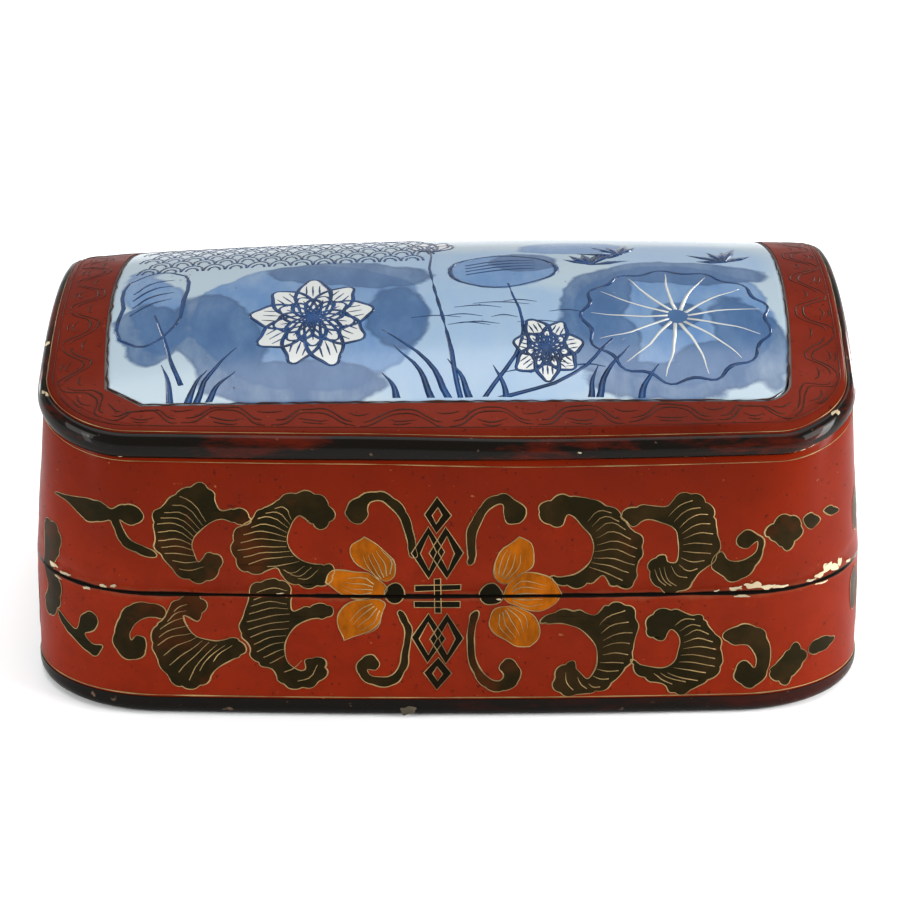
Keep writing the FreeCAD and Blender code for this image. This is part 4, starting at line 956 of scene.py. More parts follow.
class INKBOX_OT_stage(bpy.types.Operator):
    """Pale floor, soft lights and the camera"""
    bl_idname = "ink_box.stage"
    bl_label = "Stage"

    def execute(self, context):
        bm = bmesh.new()
        bmesh.ops.create_grid(bm, x_segments=1, y_segments=1, size=12.0)
        mesh = bpy.data.meshes.new("floor")
        bm.to_mesh(mesh)
        bm.free()
        floor = linked("floor", mesh)
        pale = bpy.data.materials.new("floor")
        pale.use_nodes = True
        shader = pale.node_tree.nodes["Principled BSDF"].inputs
        shader["Base Color"].default_value = (0.95, 0.95, 0.95, 1.0)
        shader["Roughness"].default_value = 0.9
        shader["Specular IOR Level"].default_value = 0.1
        mesh.materials.append(pale)

        world = bpy.data.worlds.new("studio")
        world.use_nodes = True
        sky = world.node_tree.nodes["Background"].inputs
        sky["Color"].default_value = (0.96, 0.98, 1.0, 1.0)
        sky["Strength"].default_value = 0.45
        context.scene.world = world
        context.scene.view_settings.view_transform = "Standard"

        lights = (        # name, place in metres, width in metres and power in watts
            ("left box", (-1.1, -0.55, 0.45), 0.7, 9.0),
            ("right box", (1.1, -0.5, 0.45), 0.7, 15.0),
            ("top box", (0.0, 0.4, 1.6), 1.6, 24.0),
            ("left strip", (-0.27, -0.19, 0.08), 0.035, 0.10),
            ("right strip", (0.30, -0.12, 0.08), 0.05, 0.55),
            ("far right strip", (0.36, 0.30, 0.10), 0.10, 1.3),
            ("far left strip", (-0.36, 0.30, 0.10), 0.08, 0.5),
        )
        for name, place, width, power in lights:
            data = bpy.data.lights.new(name, "AREA")
            data.shape = "RECTANGLE"
            data.size = width
            data.size_y = max(width, 0.16)
            data.energy = power
            lamp = linked(name, data)
            lamp.location = place
            lamp.rotation_euler = (-Vector(place)).to_track_quat("-Z", "Y").to_euler()

        camera = linked("camera", bpy.data.cameras.new("camera"))
        camera.data.sensor_width = 36.0
        camera.data.lens = CAMERA_LENS
        up, side = math.radians(CAMERA_UP), math.radians(CAMERA_SIDE)
        away = Vector((math.sin(side) * math.cos(up), -math.cos(side) * math.cos(up),
                       math.sin(up)))
        camera.location = (Vector(CAMERA_AIM) + away * CAMERA_AWAY) * MM
        camera.rotation_euler = (math.pi / 2 - up, 0.0, side)
        context.scene.camera = camera
        return {"FINISHED"}


class INKBOX_OT_lacquer(bpy.types.Operator):
    """Finishes of the box's own wooden parts"""
    bl_idname = "ink_box.lacquer"
    bl_label = "Lacquer"

    def execute(self, context):
        for node, name in (("base_wall", "wall lacquer"), ("lid_wall", "wall lacquer"),
                           ("crown_frame", "border lacquer"), ("base_board", "black lacquer"),
                           ("base_lip", "inner lacquer"), ("crown_backing", "inner lacquer"),
                           ("panel_putty", "putty"), ("fitted_tray", "tray lacquer"),
                           ("board_pegs", "bamboo"), ("ink_stone", "slate"),
                           ("ink_stick", "pressed ink")):
            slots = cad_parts[node].data.materials
            slots.clear()
            slots.append(finish(name))
        return {"FINISHED"}


# section of the moulding: outward from the wall's plane, and above the crown
MOULDING = [(-1.1, -5.4), (-0.6, -5.95), (0.3, -5.8), (0.85, -5.1), (1.12, -4.1), (1.18, -3.1),
            (1.06, -2.1), (0.78, -1.25), (0.35, -0.62), (-0.2, -0.28), (-0.7, -0.24),
            (-1.0, -0.45), (-1.1, -1.1)]

# section of the crown's edge: share of the way from the frame to the moulding, and depth
CROWN_EDGE = [(0.0, 2.4), (0.0, 0.25), (0.1, -0.02), (0.32, -0.02), (0.5, 0.05), (0.66, 0.15),
              (0.8, 0.3), (0.91, 0.47), (1.0, 0.66), (1.0, 2.6)]

COAT_ROWS = 8            # rows on each face of the lacquer ground
AROUND = 480             # steps round the box
END_FROM = 92.0          # distance along the wall from which the rim's right end is drawn in


def swept(place, rows):
    """Closed ring round the box; place gives the point of each row of its section."""
    bm = bmesh.new()
    bmesh.ops.create_grid(bm, x_segments=AROUND, y_segments=rows, size=1.0)
    for vert in bm.verts:
        row = round((vert.co.y + 1) / 2 * rows) % rows
        vert.co = place((vert.co.x + 1) / 2 * PLAN.whole, row)
    bmesh.ops.remove_doubles(bm, verts=bm.verts, dist=1e-6)
    bmesh.ops.recalc_face_normals(bm, faces=bm.faces)
    return bm


def rim(s, out):
    """Plan point of the crown's rim, so far out from the wall's plane."""
    along = abs((s + PLAN.whole / 2) % PLAN.whole - PLAN.whole / 2 - PLAN.quarter)
    drawn_in = 0.8 * eased((PLAN.quarter - END_FROM - along) / 12.0 + 1.0)
    return PLAN.at(s, sizes().lid_lean / MM + drawn_in - out, 1.0)[0]


def right_front(s):
    """1 along the right half of the front, easing to 0 beyond it."""
    s = (s + PLAN.quarter) % PLAN.whole - PLAN.quarter
    return eased((s + 25) / 50) * eased((140 - s) / 50)


def lowered(s, up):
    """How much lower the moulding lies, most so at its top on the right half of the front."""
    return 0.25 + 0.9 * right_front(s) * clamped((up + 5.9) / 4.0)


def on_moulding(s, along, out):
    """Place at a distance up the section of the moulding, from its foot."""
    for (out_a, up_a), (out_b, up_b) in zip(MOULDING[2:11], MOULDING[3:12]):
        long = math.hypot(out_b - out_a, up_b - up_a)
        if along <= long:
            break
        along -= long
    share = along / long
    face = out_a + share * (out_b - out_a) + out * (up_b - up_a) / long
    up = up_a + share * (up_b - up_a) - out * (out_b - out_a) / long
    x, y = rim(s, face)
    return Vector((x, y, crown(*rim(s, min(face, 0.0))) + up - lowered(s, up))) * MM


def hairline(name, place, width, body, seed, finish_name="gold line"):
    """Thin broken line all round the box; place gives its centre at a distance s."""
    bm = bmesh.new()
    bmesh.ops.create_grid(bm, x_segments=420, y_segments=4, size=1.0)
    for vert in bm.verts:
        s = (vert.co.x + 1) / 2 * PLAN.whole
        turn = (vert.co.y + 1) * math.pi
        wear = 0.75 + 0.9 * noise.noise((s * 0.11 if s < PLAN.whole else 0.0, seed, 0.0))
        thick = width / 2 * max(0.25, min(1.25, wear)) * MM
        ahead = place(s + 0.5) - place(s - 0.5)
        outward = Vector((ahead.y, -ahead.x, 0)).normalized()
        vert.co = place(s) + (outward * math.sin(turn)
                              + Vector((0, 0, 1)) * math.cos(turn)) * thick
    bmesh.ops.remove_doubles(bm, verts=bm.verts, dist=1e-6)
    bmesh.ops.recalc_face_normals(bm, faces=bm.faces)
    keep(name, bm, body, finish_name)


class INKBOX_OT_moulding(bpy.types.Operator):
    """Half-round moulding on the rim with its gilt hairlines"""
    bl_idname = "ink_box.moulding"
    bl_label = "Moulding"

    def execute(self, context):
        z = sizes()
        gold = z.gold_line / MM

        def moulded(s, row):
            """Moulding, a little uneven along its length."""
            out, up = MOULDING[row]
            x, y = rim(s, out)
            edge = rim(s, min(out, 0.0))
            slump = 0.10 * noise.noise((edge[0] * 0.03, edge[1] * 0.03, row * 0.1))
            return Vector((x, y, crown(*edge) + up - lowered(s, up) + slump)) * MM
        bead = keep("rim_moulding", swept(moulded, len(MOULDING)), "lid",
                    "rubbed black lacquer")
        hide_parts("rim_bead")

        def coated(s, row):
            """Lacquer ground that brings the wall out to the crown's tighter corners."""
            outside = row < COAT_ROWS
            step = row if outside else 2 * COAT_ROWS - 1 - row
            low = z.seam / MM + SEAM_GAP
            top = crown(*rim(s, 0.0)) - 2.6
            height = low + (top - low) * step / (COAT_ROWS - 1)
            (x, y), _ = PLAN.at(s, lean(height) - (0.02 if outside else -0.9),
                                squareness(height) if outside else 0.0)
            return Vector((x, y, height)) * MM
        keep("lid_ground", swept(coated, 2 * COAT_ROWS), "lid", "wall lacquer")

        def rounded(s, row):
            """Edge of the crown, from its frame out to the moulding."""
            share, down = CROWN_EDGE[row]
            (ax, ay), _ = PLAN.at(s, 6.3)
            bx, by = rim(s, -0.9)
            x, y = ax + share * (bx - ax), ay + share * (by - ay)
            return Vector((x, y, crown(x, y) - down - share ** 2 * lowered(s, 0.0) * 0.9)) * MM
        # painted shade: the crown's edge gets a darker copy of the border lacquer, as it faces
        # the lights more
        keep("crown_edge", swept(rounded, len(CROWN_EDGE)), "lid",
             "edge lacquer")

        def under(s):
            """Line on the wall just under the moulding."""
            height = crown(*rim(s, 0.0)) - 6.6 - lowered(s, -6.6) - 0.9 * right_front(s)
            return on_wall(s, height, 0.04)
        hairline("hairline_under_moulding", under, gold, "lid", 5)

        def over(s):
            """Line on the crown's edge where it meets the moulding."""
            x, y = rim(s, -1.15)
            return Vector((x, y, crown(x, y) - 0.02 - lowered(s, 0.0))) * MM
        hairline("hairline_over_moulding", over, gold * 0.769, "lid", 9)

        def inner(s):
            """Brown line a little further in."""
            return on_crown(*rim(s, -2.7), 0.03)
        hairline("brown_line", inner, gold * 0.846, "lid", 13, "incised line")

        def foot(s):
            """Line over the foot board."""
            (x, y), _ = PLAN.at(s, -0.05)
            return Vector((x, y, 5.25)) * MM
        hairline("hairline_over_foot", foot, gold * 1.4615, "base", 21)
        return {"FINISHED"}


class INKBOX_OT_porcelain(bpy.types.Operator):
    """Curved porcelain panel with its washes under the glaze"""
    bl_idname = "ink_box.porcelain"
    bl_label = "Porcelain"

    def execute(self, context):
        z = sizes()
        half_x, half_y = z.panel_length / MM / 2, z.panel_width / MM / 2
        end, side = z.panel_end_bow / MM, z.panel_side_bow / MM
        bow_x = end - math.sqrt(end ** 2 - half_y ** 2)
        bow_y = side - math.sqrt(side ** 2 - half_x ** 2)
        bm = flat_grid(half_x, half_y, 0.8)
        for vert in bm.verts:
            u, v = vert.co.x / half_x, vert.co.y / half_y
            vert.co.x = u * (half_x - bow_x * v * v)
            vert.co.y = v * (half_y - bow_y * u * u)
        corners = rounding(half_x - bow_x, half_y - bow_y, z.panel_corner / MM)
        trim(bm, [((6.4 - half_x, 4.5 - half_y), CUT_CORNER), *corners], near=2.5)
        joint = wobble(angular([rim_of(bm)], 0.5, True), 0.5, 3.0, 8.0)
        wrap_on_crown("joint_line", joint, "incised line", -0.02, 0.2)
        walled(bm, 3.2)
        depths = bm.verts.layers.float_vector.new("wash")
        for vert in bm.verts:
            x, y, low = vert.co
            vert[depths] = wash_edges(x, y)
            if low == 0.0 and any(e.calc_face_angle(0) > 0.6 for e in vert.link_edges):
                low = -0.25      # eased edge
            vert.co = on_crown(x, y, low - 0.08)
        panel = keep("painted_panel", bm, "lid", "glazed porcelain")
        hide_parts("porcelain_panel")
        return {"FINISHED"}


def rim_of(bm):
    """Outline of an open flat bmesh, as points in order."""
    start = next(v for v in bm.verts if v.is_boundary)
    loop, here, before = [], start, None
    while here is not start or before is None:
        loop.append((here.co.x, here.co.y))
        step = [e.other_vert(here) for e in here.link_edges if e.is_boundary]
        here, before = (step[0] if step[0] is not before else step[1]), here
    return loop


def rounding(x, y, radius):
    """Planes that round three corners of a rectangle, all but the front left one."""
    planes = []
    for side_x, side_y in ((1, -1), (1, 1), (-1, 1)):
        for k in range(1, 8):
            turn = math.pi / 2 * k / 8
            nx, ny = side_x * math.cos(turn), side_y * math.sin(turn)
            planes.append(((side_x * (x - radius) + radius * nx,
                            side_y * (y - radius) + radius * ny), (nx, ny)))
    return planes


# oval patches: centre, half lengths and turn
PALE_WASHES = [(10, -36, 36, 34, 0.0), (-8, 4, 40, 20, 0.3), (62, 14, 24, 22, 0.0)]
MIDDLE_WASHES = [(-34, -22, 29, 34, 0.15), (56, -24, 25, 31, 0.0), (-73, -10, 8, 26, 0.15),
                 (14, 4, 14, 13, 0.2), (32, 28, 14, 9, 0.0)]
DEEP_WASHES = [(-56, -30, 11, 23, 0.25), (-24, 4, 20, 10, -0.2), (-36, -52, 22, 9, 0.0),
               (-12, -24, 8, 16, 0.0), (37, -14, 9, 20, -0.2), (74, -34, 9, 20, 0.2),
               (58, 2, 20, 9, 0.0), (-76, -22, 6, 14, 0.0), (19, 10, 9, 8, 0.0),
               (52, -52, 18, 8, 0.0), (56, -25, 6, 7, 0.0), (37, -36, 11, 15, 0.3),
               (66, -46, 13, 10, 0.0), (-72, -28, 7, 16, 0.0)]


def blob(x, y, cx, cy, rx, ry, turn):
    """Distance inside an oval patch, in millimetres; negative outside it."""
    c, s = math.cos(turn), math.sin(turn)
    dx, dy = (x - cx) * c + (y - cy) * s, -(x - cx) * s + (y - cy) * c
    return (1.0 - math.hypot(dx / rx, dy / ry)) * min(rx, ry)


def wash_edges(x, y):
    """How far inside the pale, the middle and the deep wash a place on the panel is."""
    waver = 2.2 * noise.noise((x * 0.07, y * 0.07, 1.0)) \
        + 0.9 * noise.noise((x * 0.25, y * 0.25, 5.0))
    return Vector([max(blob(x, y, *each) for each in patches) + waver
                   for patches in (PALE_WASHES, MIDDLE_WASHES, DEEP_WASHES)])


def sprout(cx, cy, turn, along, across, deepen):
    """Place at a distance along a turned line, and across it."""
    c, s = math.cos(turn), math.sin(turn)
    return cx + along * c - across * s, cy + (along * s + across * c) * deepen


def spoke(cx, cy, turn, half_x, half_y):
    """Place on an oval round a centre."""
    return cx + half_x * math.cos(turn), cy + half_y * math.sin(turn)


def petal(cx, cy, turn, reach, width, deepen):
    """Closed outline of one petal that grows from (cx, cy), drawn longer in depth."""
    shape = [(0.0, 0.10), (0.32, 0.44), (0.66, 0.50), (0.90, 0.26), (1.04, 0.0),
             (0.90, -0.26), (0.66, -0.50), (0.32, -0.44), (0.0, -0.10)]
    return [sprout(cx, cy, turn, along * reach, across * width, deepen)
            for along, across in shape]


def petal_veins(cx, cy, turn, reach, width, deepen):
    """Short strokes inside the tip of a petal."""
    lines = []
    for across in (-0.2, 0.0, 0.2):
        points = [sprout(cx, cy, turn, along * reach, across * width, deepen)
                  for along in (0.56, 0.70, 0.84)]
        lines.append((points, [0.3, 0.9, 0.4]))
    return lines


class INKBOX_OT_painting(bpy.types.Operator):
    """Cobalt brush work on the porcelain: lotus, leaves, reeds and waves"""
    bl_idname = "ink_box.painting"
    bl_label = "Painting"

    def execute(self, context):
        rng = random.Random(7)
        reserves, outlines, fine = [], [], []
        # open blossoms left white in the wash; deeper than wide, as on the curved vessel
        deepen = 1.5
        for cx, cy, reach, breadth, count in ((-33, -24, 15.0, 8.6, 9), (24, -40, 8.5, 5.6, 7)):
            for ring in (1.0, 0.60):
                for k in range(count):
                    turn = TURN * (k + 0.5 * (ring < 1)) / count + 0.2
                    grow = reach * ring * rng.uniform(0.92, 1.08)
                    shape = petal(cx, cy, turn, grow, breadth * ring ** 0.5, deepen)
                    reserves.append(shape)
                    outlines.append((shape, [0.8, 1.2, 1.5, 1.2, 0.9, 1.3, 1.6, 1.1, 0.8]))
                    fine += petal_veins(cx, cy, turn, grow, breadth, deepen)
            for k in range(9):
                turn = TURN * k / 9
                fine.append(([spoke(cx, cy, turn, 0.9, 1.4), spoke(cx, cy, turn, 2.6, 4.0)],
                             [1.4, 0.7]))
        # broad leaf with light veins
        veins = []
        cx, cy = 56, -25
        for k in range(13):
            turn = TURN * (k + 0.35) / 13
            veins.append(([spoke(cx, cy, turn, 2.5, 3.5), spoke(cx, cy, turn + 0.08, 13, 16),
                           spoke(cx, cy, turn + 0.02, 21, 26)], [1.8, 1.2, 0.4]))
        edge = []
        for k in range(26):
            grow = 23.5 if k % 2 else 21.6
            edge.append(spoke(cx, cy, TURN * k / 26, grow, grow * 1.22))
        outlines.append((edge, [1.4, 0.9, 1.6, 0.8] * 7))
        # small folded leaves and a bud
        for cx, cy, rx, ry in ((14, 4, 13.5, 12), (-73, -10, 7.5, 24)):
            outlines.append(([(cx - rx, cy - 2), (cx - rx * 0.5, cy + ry * 0.9),
                              (cx + rx * 0.4, cy + ry), (cx + rx, cy + 1),
                              (cx + rx * 0.5, cy - ry * 0.8), (cx - rx * 0.4, cy - ry)],
                             [1.5, 0.8, 1.1, 1.6, 0.9, 1.2]))
            for k in range(4):
                fine.append(([(cx - rx * 0.7, cy - ry * (0.3 - 0.2 * k)),
                              (cx, cy + ry * 0.22 * k),
                              (cx + rx * 0.6, cy + ry * (0.1 + 0.2 * k))], [0.8, 1.5, 0.4]))
        for turn, grow in ((1.3, 12), (1.75, 12), (1.0, 9), (2.1, 9)):
            shape = petal(-4, 24, turn, grow, 5.0, 1.2)
            reserves.append(shape)
            outlines.append((shape, [1.2]))
        # stems, and reeds that lean from the front edge
        fine += [([(3, -60), (0, -34), (-4, 0), (-4, 24)], [2.4, 1.7, 1.3, 0.8]),
                 ([(8, -60), (18, -36), (15, -6)], [2.2, 1.5, 0.9]),
                 ([(10, -60), (30, -50), (40, -36)], [2.6, 1.8, 1.2]),
                 ([(-64, -52), (-68, -36), (-72, -18)], [2.2, 1.6, 0.8])]
        for x, dx, dy in ((-62, 4, 13), (-60, 9, 22), (-57, 6, 12), (-66, -3, 16), (-4, -9, 21),
                          (0, -16, 28), (5, -5, 15), (34, 2, 12), (36, 8, 20), (46, 5, 13),
                          (-12, -4, 10), (14, -3, 12)):
            fine.append(([(x, -59), (x + dx * 0.3, -59 + dy * 0.5), (x + dx, -59 + dy)],
                         [3.2, 2.0, 0.3]))
        # ripples on the water
        for k in range(13):
            x, y = rng.uniform(-4, 34), rng.uniform(-52, -12)
            wide = rng.uniform(3, 7)
            fine.append(([(x - wide, y), (x, y + 0.9), (x + wide, y - 0.3)], [0.3, 0.9, 0.3]))
        # sprays of narrow leaves
        for cx, cy, first in ((36, 8, 0.2), (44, 18, 0.9), (70, 12, 0.6)):
            for k in range(6):
                turn = first + k * 0.52 + rng.uniform(-0.15, 0.15)
                grow = rng.uniform(7, 12)
                fine.append(([(cx, cy), spoke(cx, cy, turn, grow * 0.5, grow * 0.8),
                              spoke(cx, cy, turn, grow, grow * 1.5)], [0.8, 4.6, 0.2]))
        # rows of scales, like small waves, at the back
        for row in range(6):
            y = 14 + row * 7.0
            for k in range(13):
                x = -76 + k * 5.6 + (row % 2) * 2.8
                if x > 4 - row * 3:
                    continue
                for small in (1.0, 0.55):
                    fine.append(([(x - 2.8 * small, y), (x - 1.9 * small, y + 4.4 * small),
                                  (x, y + 6.2 * small), (x + 1.9 * small, y + 4.4 * small),
                                  (x + 2.8 * small, y)], [1.0, 1.3, 1.4, 1.3, 1.0]))
        z = sizes()
        half_x, half_y = z.panel_length / MM / 2 - 1.6, z.panel_width / MM / 2 - 1.2
        limits = [((half_x, 0), (1, 0)), ((-half_x, 0), (-1, 0)), ((0, half_y), (0, 1)),
                  ((0, -half_y), (0, -1)), ((-75.6, -54.2), CUT_CORNER)]
        for name, flat, finish_name, out, relief, step in (
                ("petals", filled(reserves, 3), "bare glaze", -0.065, 1.0, 4.0),
                ("leaf_veins", strokes(veins, False, 0.55, 4), "bare glaze", -0.06, 0.1, 0),
                ("petal_outlines", strokes(outlines, True, 0.72, 4), "cobalt", -0.045, 0.1, 0),
                ("brush_lines", strokes(fine, False, 0.58, 4), "cobalt", -0.045, 0.1, 0)):
            trim(flat, limits)
            wobble(flat, 0.5, 7.0, 3.0)
            wrap_on_crown(name, flat, finish_name, out, relief, step)
        specks = []
        for k in range(46):
            x, y = rng.uniform(-80, 78), rng.uniform(-54, 54)
            if k < 26:
                x, y = rng.uniform(-78, -62), rng.uniform(4, 50)
            size = rng.uniform(0.12, 0.30)
            specks.append([(x + size, y), (x, y + size * 1.2), (x - size, y), (x, y - size)])
        wrap_on_crown("pinholes", strokes(specks, detail=2), "pinhole", -0.05)
        return {"FINISHED"}


class INKBOX_OT_border(bpy.types.Operator):
    """Incised cloud lines round the porcelain"""
    bl_idname = "ink_box.border"
    bl_label = "Border"

    def execute(self, context):
        def track(s, across):
            """Place on the border at a distance along the wall."""
            turn = math.cos(math.pi * s / PLAN.quarter)
            (x, y), _ = PLAN.at(s, 10.0 - 1.0 * turn - across * (1.25 - 0.20 * turn), 1.0)
            return (x, math.copysign(60.8, y)) if abs(x) < 80 and abs(y) < 60.8 else (x, y)

        lines, ticks = [], []
        units = 30
        pitch = PLAN.whole / units
        for across, first, last in ((0.5, 0.02, 0.97), (-0.75, 0.06, 0.93)):
            for k in range(units):
                start = k * pitch
                wave = []
                for j in range(13):
                    t = first + (last - first) * j / 12
                    swing = math.cos(TURN * t)
                    swing *= 1.0 + 0.5 * (1.0 - swing * swing)
                    wave.append(track(start + pitch * t, across + 2.0 * swing))
                lines.append((wave, [0.5, 0.8, 1.1, 1.0, 0.8, 1.1, 1.1, 1.0, 0.9, 0.7, 1.0, 1.0,
                                     0.5]))
        for k in range(units):
            start = k * pitch
            for rise in (0.0, 0.95):
                hook = [track(start + pitch * (0.5 + t), 0.6 + rise + 0.8 * math.cos(9.0 * t))
                        for t in (-0.17 + 0.05 * rise, -0.06, 0.06, 0.16 - 0.05 * rise)]
                ticks.append((hook, [0.4, 1.1, 1.0, 0.3]))
            hook = [track(start + pitch * t, -1.6 + 0.8 * math.cos(9.0 * t))
                    for t in (-0.14, -0.05, 0.05, 0.13)]
            ticks.append((hook, [0.3, 1.0, 1.1, 0.4]))
        flat = joined([strokes(lines, False, 0.36, 3), strokes(ticks, False, 0.32, 3)])
        wobble(flat, 0.9, 6.0, 9.0)
        wrap_on_crown("incised_waves", flat, "incised line", 0.05, 0.12)
        return {"FINISHED"}


def wide_places():
    """Shifts that carry the front's ornament to the front and the back."""
    return {"front": [(0.0, False)], "back": [(2 * PLAN.quarter, False)]}


def end_places():
    """Shifts and mirrorings that carry a leaf group to both halves of each end."""
    right, left, aside = PLAN.quarter, -PLAN.quarter, 26.2
    return {"right_end": [(right + aside, False), (right - aside, True)],
            "left_end": [(left + aside, False), (left - aside, True)]}


class INKBOX_OT_leaves(bpy.types.Operator):
    """Dark leaf scrolls with gilt outlines and ribs"""
    bl_idname = "ink_box.leaves"
    bl_label = "Leaves"

    def execute(self, context):
        width = sizes().outline / MM
        leaves = {name: lobed(shape, 0.75 if name.startswith("leaf") else 0.3)
                  for name, shape in LEAVES.items()}
        buds = [[(s - 2.4, h - 3.5), (s - 2.8, h + 2.5), (s + 0.3, h + 5.5), (s + 2.9, h + 2.0),
                 (s + 2.3, h - 4.0), (s - 0.2, h - 5.6)] for s, h in ((109, 44.5), (108.5, 24))]
        all_ribs = dense(RIBS)
        wide = ([*leaves.values(), *(lobed(bud, 0.2) for bud in buds)], all_ribs)
        end = ([leaves[name] for name in END_LEAVES],
               [rib for rib in all_ribs if -72 < rib[0][0] < -27])
        for (shapes, ribs), sides in ((wide, wide_places()), (end, end_places())):
            for label, places in sides.items():
                outlines = [shifted(shape, *place) for shape in shapes for place in places]
                veins = [(shifted(rib, *place), [0.3, 1.1, 0.9]) for rib in ribs
                         for place in places]
                fills = joined([raised(angular([shape]), layered(k))
                                for k, shape in enumerate(outlines)])
                wrap_on_walls(f"leaves_{label}", wobble(fills, 0.5, 5.0, 4.0),
                              "leaf lacquer", 0.07, 1.0)
                gilt = joined([angular(outlines, width, True),
                               strokes(veins, False, width * 0.75, 3)])
                wrap_on_walls(f"leaf_gilding_{label}", wobble(gilt, 0.5, 5.0, 4.0),
                              "gold line", 0.10, 0.22)
        return {"FINISHED"}


def lobed(shape, depth):
    """Close outline through the given points, with rounded lobes where it bulges."""
    count = len(shape)
    fine = []
    for k in range(count):
        before, first, last, after = (Vector(shape[(k + j) % count]) for j in (-1, 0, 1, 2))
        steps = max(2, round((last - first).length / 0.55))
        for j in range(steps):
            t = j / steps
            fine.append(0.5 * ((2 * first) + (last - before) * t
                               + (2 * before - 5 * first + 4 * last - after) * t * t
                               + (3 * first - before - 3 * last + after) * t ** 3))
    count = len(fine)
    turning = sum(fine[k].x * fine[(k + 1) % count].y - fine[(k + 1) % count].x * fine[k].y
                  for k in range(count))
    outline, run = [], 0.0
    for k in range(count):
        before, here, after = fine[k - 6], fine[k], fine[(k + 6) % count]
        run += (here - fine[k - 1]).length
        out = Vector((after.y - before.y, before.x - after.x)).normalized()
        if turning < 0:
            out = -out
        bulge = (here - (before + after) / 2).dot(out)
        share = clamped((bulge - 0.05) / 0.5)
        bump = abs(math.sin(math.pi * run / 4.6)) ** 0.7 - 0.55
        outline.append(tuple(here + out * depth * share * bump))
    return outline


def dense(ribs):
    """The ribs, with one more between any two that lie close together."""
    more = list(ribs)
    for first, second in zip(ribs, ribs[1:]):
        apart = [math.hypot(a[0] - b[0], a[1] - b[1]) for a, b in zip(first, second)]
        if len(first) == len(second) and max(apart) < 9.0:
            more.append([((a[0] + b[0]) / 2, (a[1] + b[1]) / 2)
                         for a, b in zip(first, second)])
    return more


class INKBOX_OT_flowers(bpy.types.Operator):
    """Lotus half flowers and the knotted fret between them"""
    bl_idname = "ink_box.flowers"
    bl_label = "Flowers"

    def execute(self, context):
        z = sizes()
        width = z.outline / MM
        cx, thick = -2.6, 1.6
        lozenges = []            # centre and half lengths
        for side in (1, -1):
            middle = z.seam / MM + side * 10.9
            lozenges += [(cx - 2.2, middle, 4.1, 6.6), (cx + 2.2, middle, 4.1, 6.6),
                         (cx, middle + side * 9.3, 3.3, 4.4)]
        bars = [[(cx - a, low), (cx + a, low), (cx + a, high), (cx - a, high)]
                for a, low, high in ((0.75, 27.6, 36.2), (5.5, 29.0, 30.5), (5.5, 33.3, 34.8))]
        for label, (place,) in wide_places().items():
            petals = [shifted(p, *place) for p in PETALS.values()]
            eyes = [shifted(p, *place) for p in EYES.values()]
            wrap_on_walls(f"petals_{label}", wobble(filled(petals, 4, (0,)), 0.8, 5.0, 4.0),
                          "lotus lacquer", 0.09, 1.0)
            wrap_on_walls(f"eyes_{label}", filled(eyes, 3), "fret lacquer",
                          0.12, 1.0)
            rings, edges = [], []
            for x, height, rx, rz in lozenges:
                both = [shifted([(x - a, height), (x, height + b), (x + a, height),
                                 (x, height - b)], *place)
                        for a, b in ((rx, rz), (rx - thick * 1.3, rz - thick * 1.5))]
                rings.append(raised(angular(both), layered(len(rings), 3)))
                edges += both
            solid = [shifted(bar, *place) for bar in bars]
            rings += [angular([bar]) for bar in solid]
            wrap_on_walls(f"fret_{label}", wobble(joined(rings), 0.5, 4.0, 6.0),
                          "fret lacquer", 0.085, 1.0)
            streaks = [(shifted(line, *place), [1.2, 0.9, 0.3])
                       for name, shape in PETALS.items() for line in streak_lines(name, shape)]
            gilt = joined([strokes([(s, [1.0, 0.6, 1.2, 0.8, 0.5] * 4) for s in petals], True,
                                   width, 4, (0,)),
                           strokes(streaks, False, width * 0.9, 3)])
            wrap_on_walls(f"flower_gilding_{label}", wobble(gilt, 0.8, 5.0, 4.0), "gold line",
                          0.115, 0.22)
            gilt = joined([angular(edges + solid, width * 0.9), strokes(eyes, True, width, 3)])
            wrap_on_walls(f"fret_gilding_{label}", wobble(gilt, 0.5, 4.0, 6.0), "gold line",
                          0.12, 0.22)
        return {"FINISHED"}


def streak_lines(name, shape):
    """Gilt streaks that fan from a petal's base towards its tip."""
    base_x, base_z = -13.0 if "left" in name else 10.3, 32.4
    dx, dz = shape[0][0] - base_x, shape[0][1] - base_z
    lines = []
    for spread in (-0.36, -0.18, 0.0, 0.18, 0.36):
        side_x, side_z = -dz * spread * 0.55, dx * spread * 0.55
        lines.append([(base_x + dx * t + side_x * b, base_z + dz * t + side_z * b)
                      for t, b in ((0.30, 0.45), (0.52, 0.9), (0.74, 0.75))])
    return lines


def ragged(cx, cy, rx, ry, rng):
    """Irregular outline of a chip."""
    outline = []
    for k in range(12):
        grow = rng.uniform(0.62, 1.12)
        outline.append(spoke(cx, cy, TURN * k / 12, rx * grow, ry * grow))
    return outline


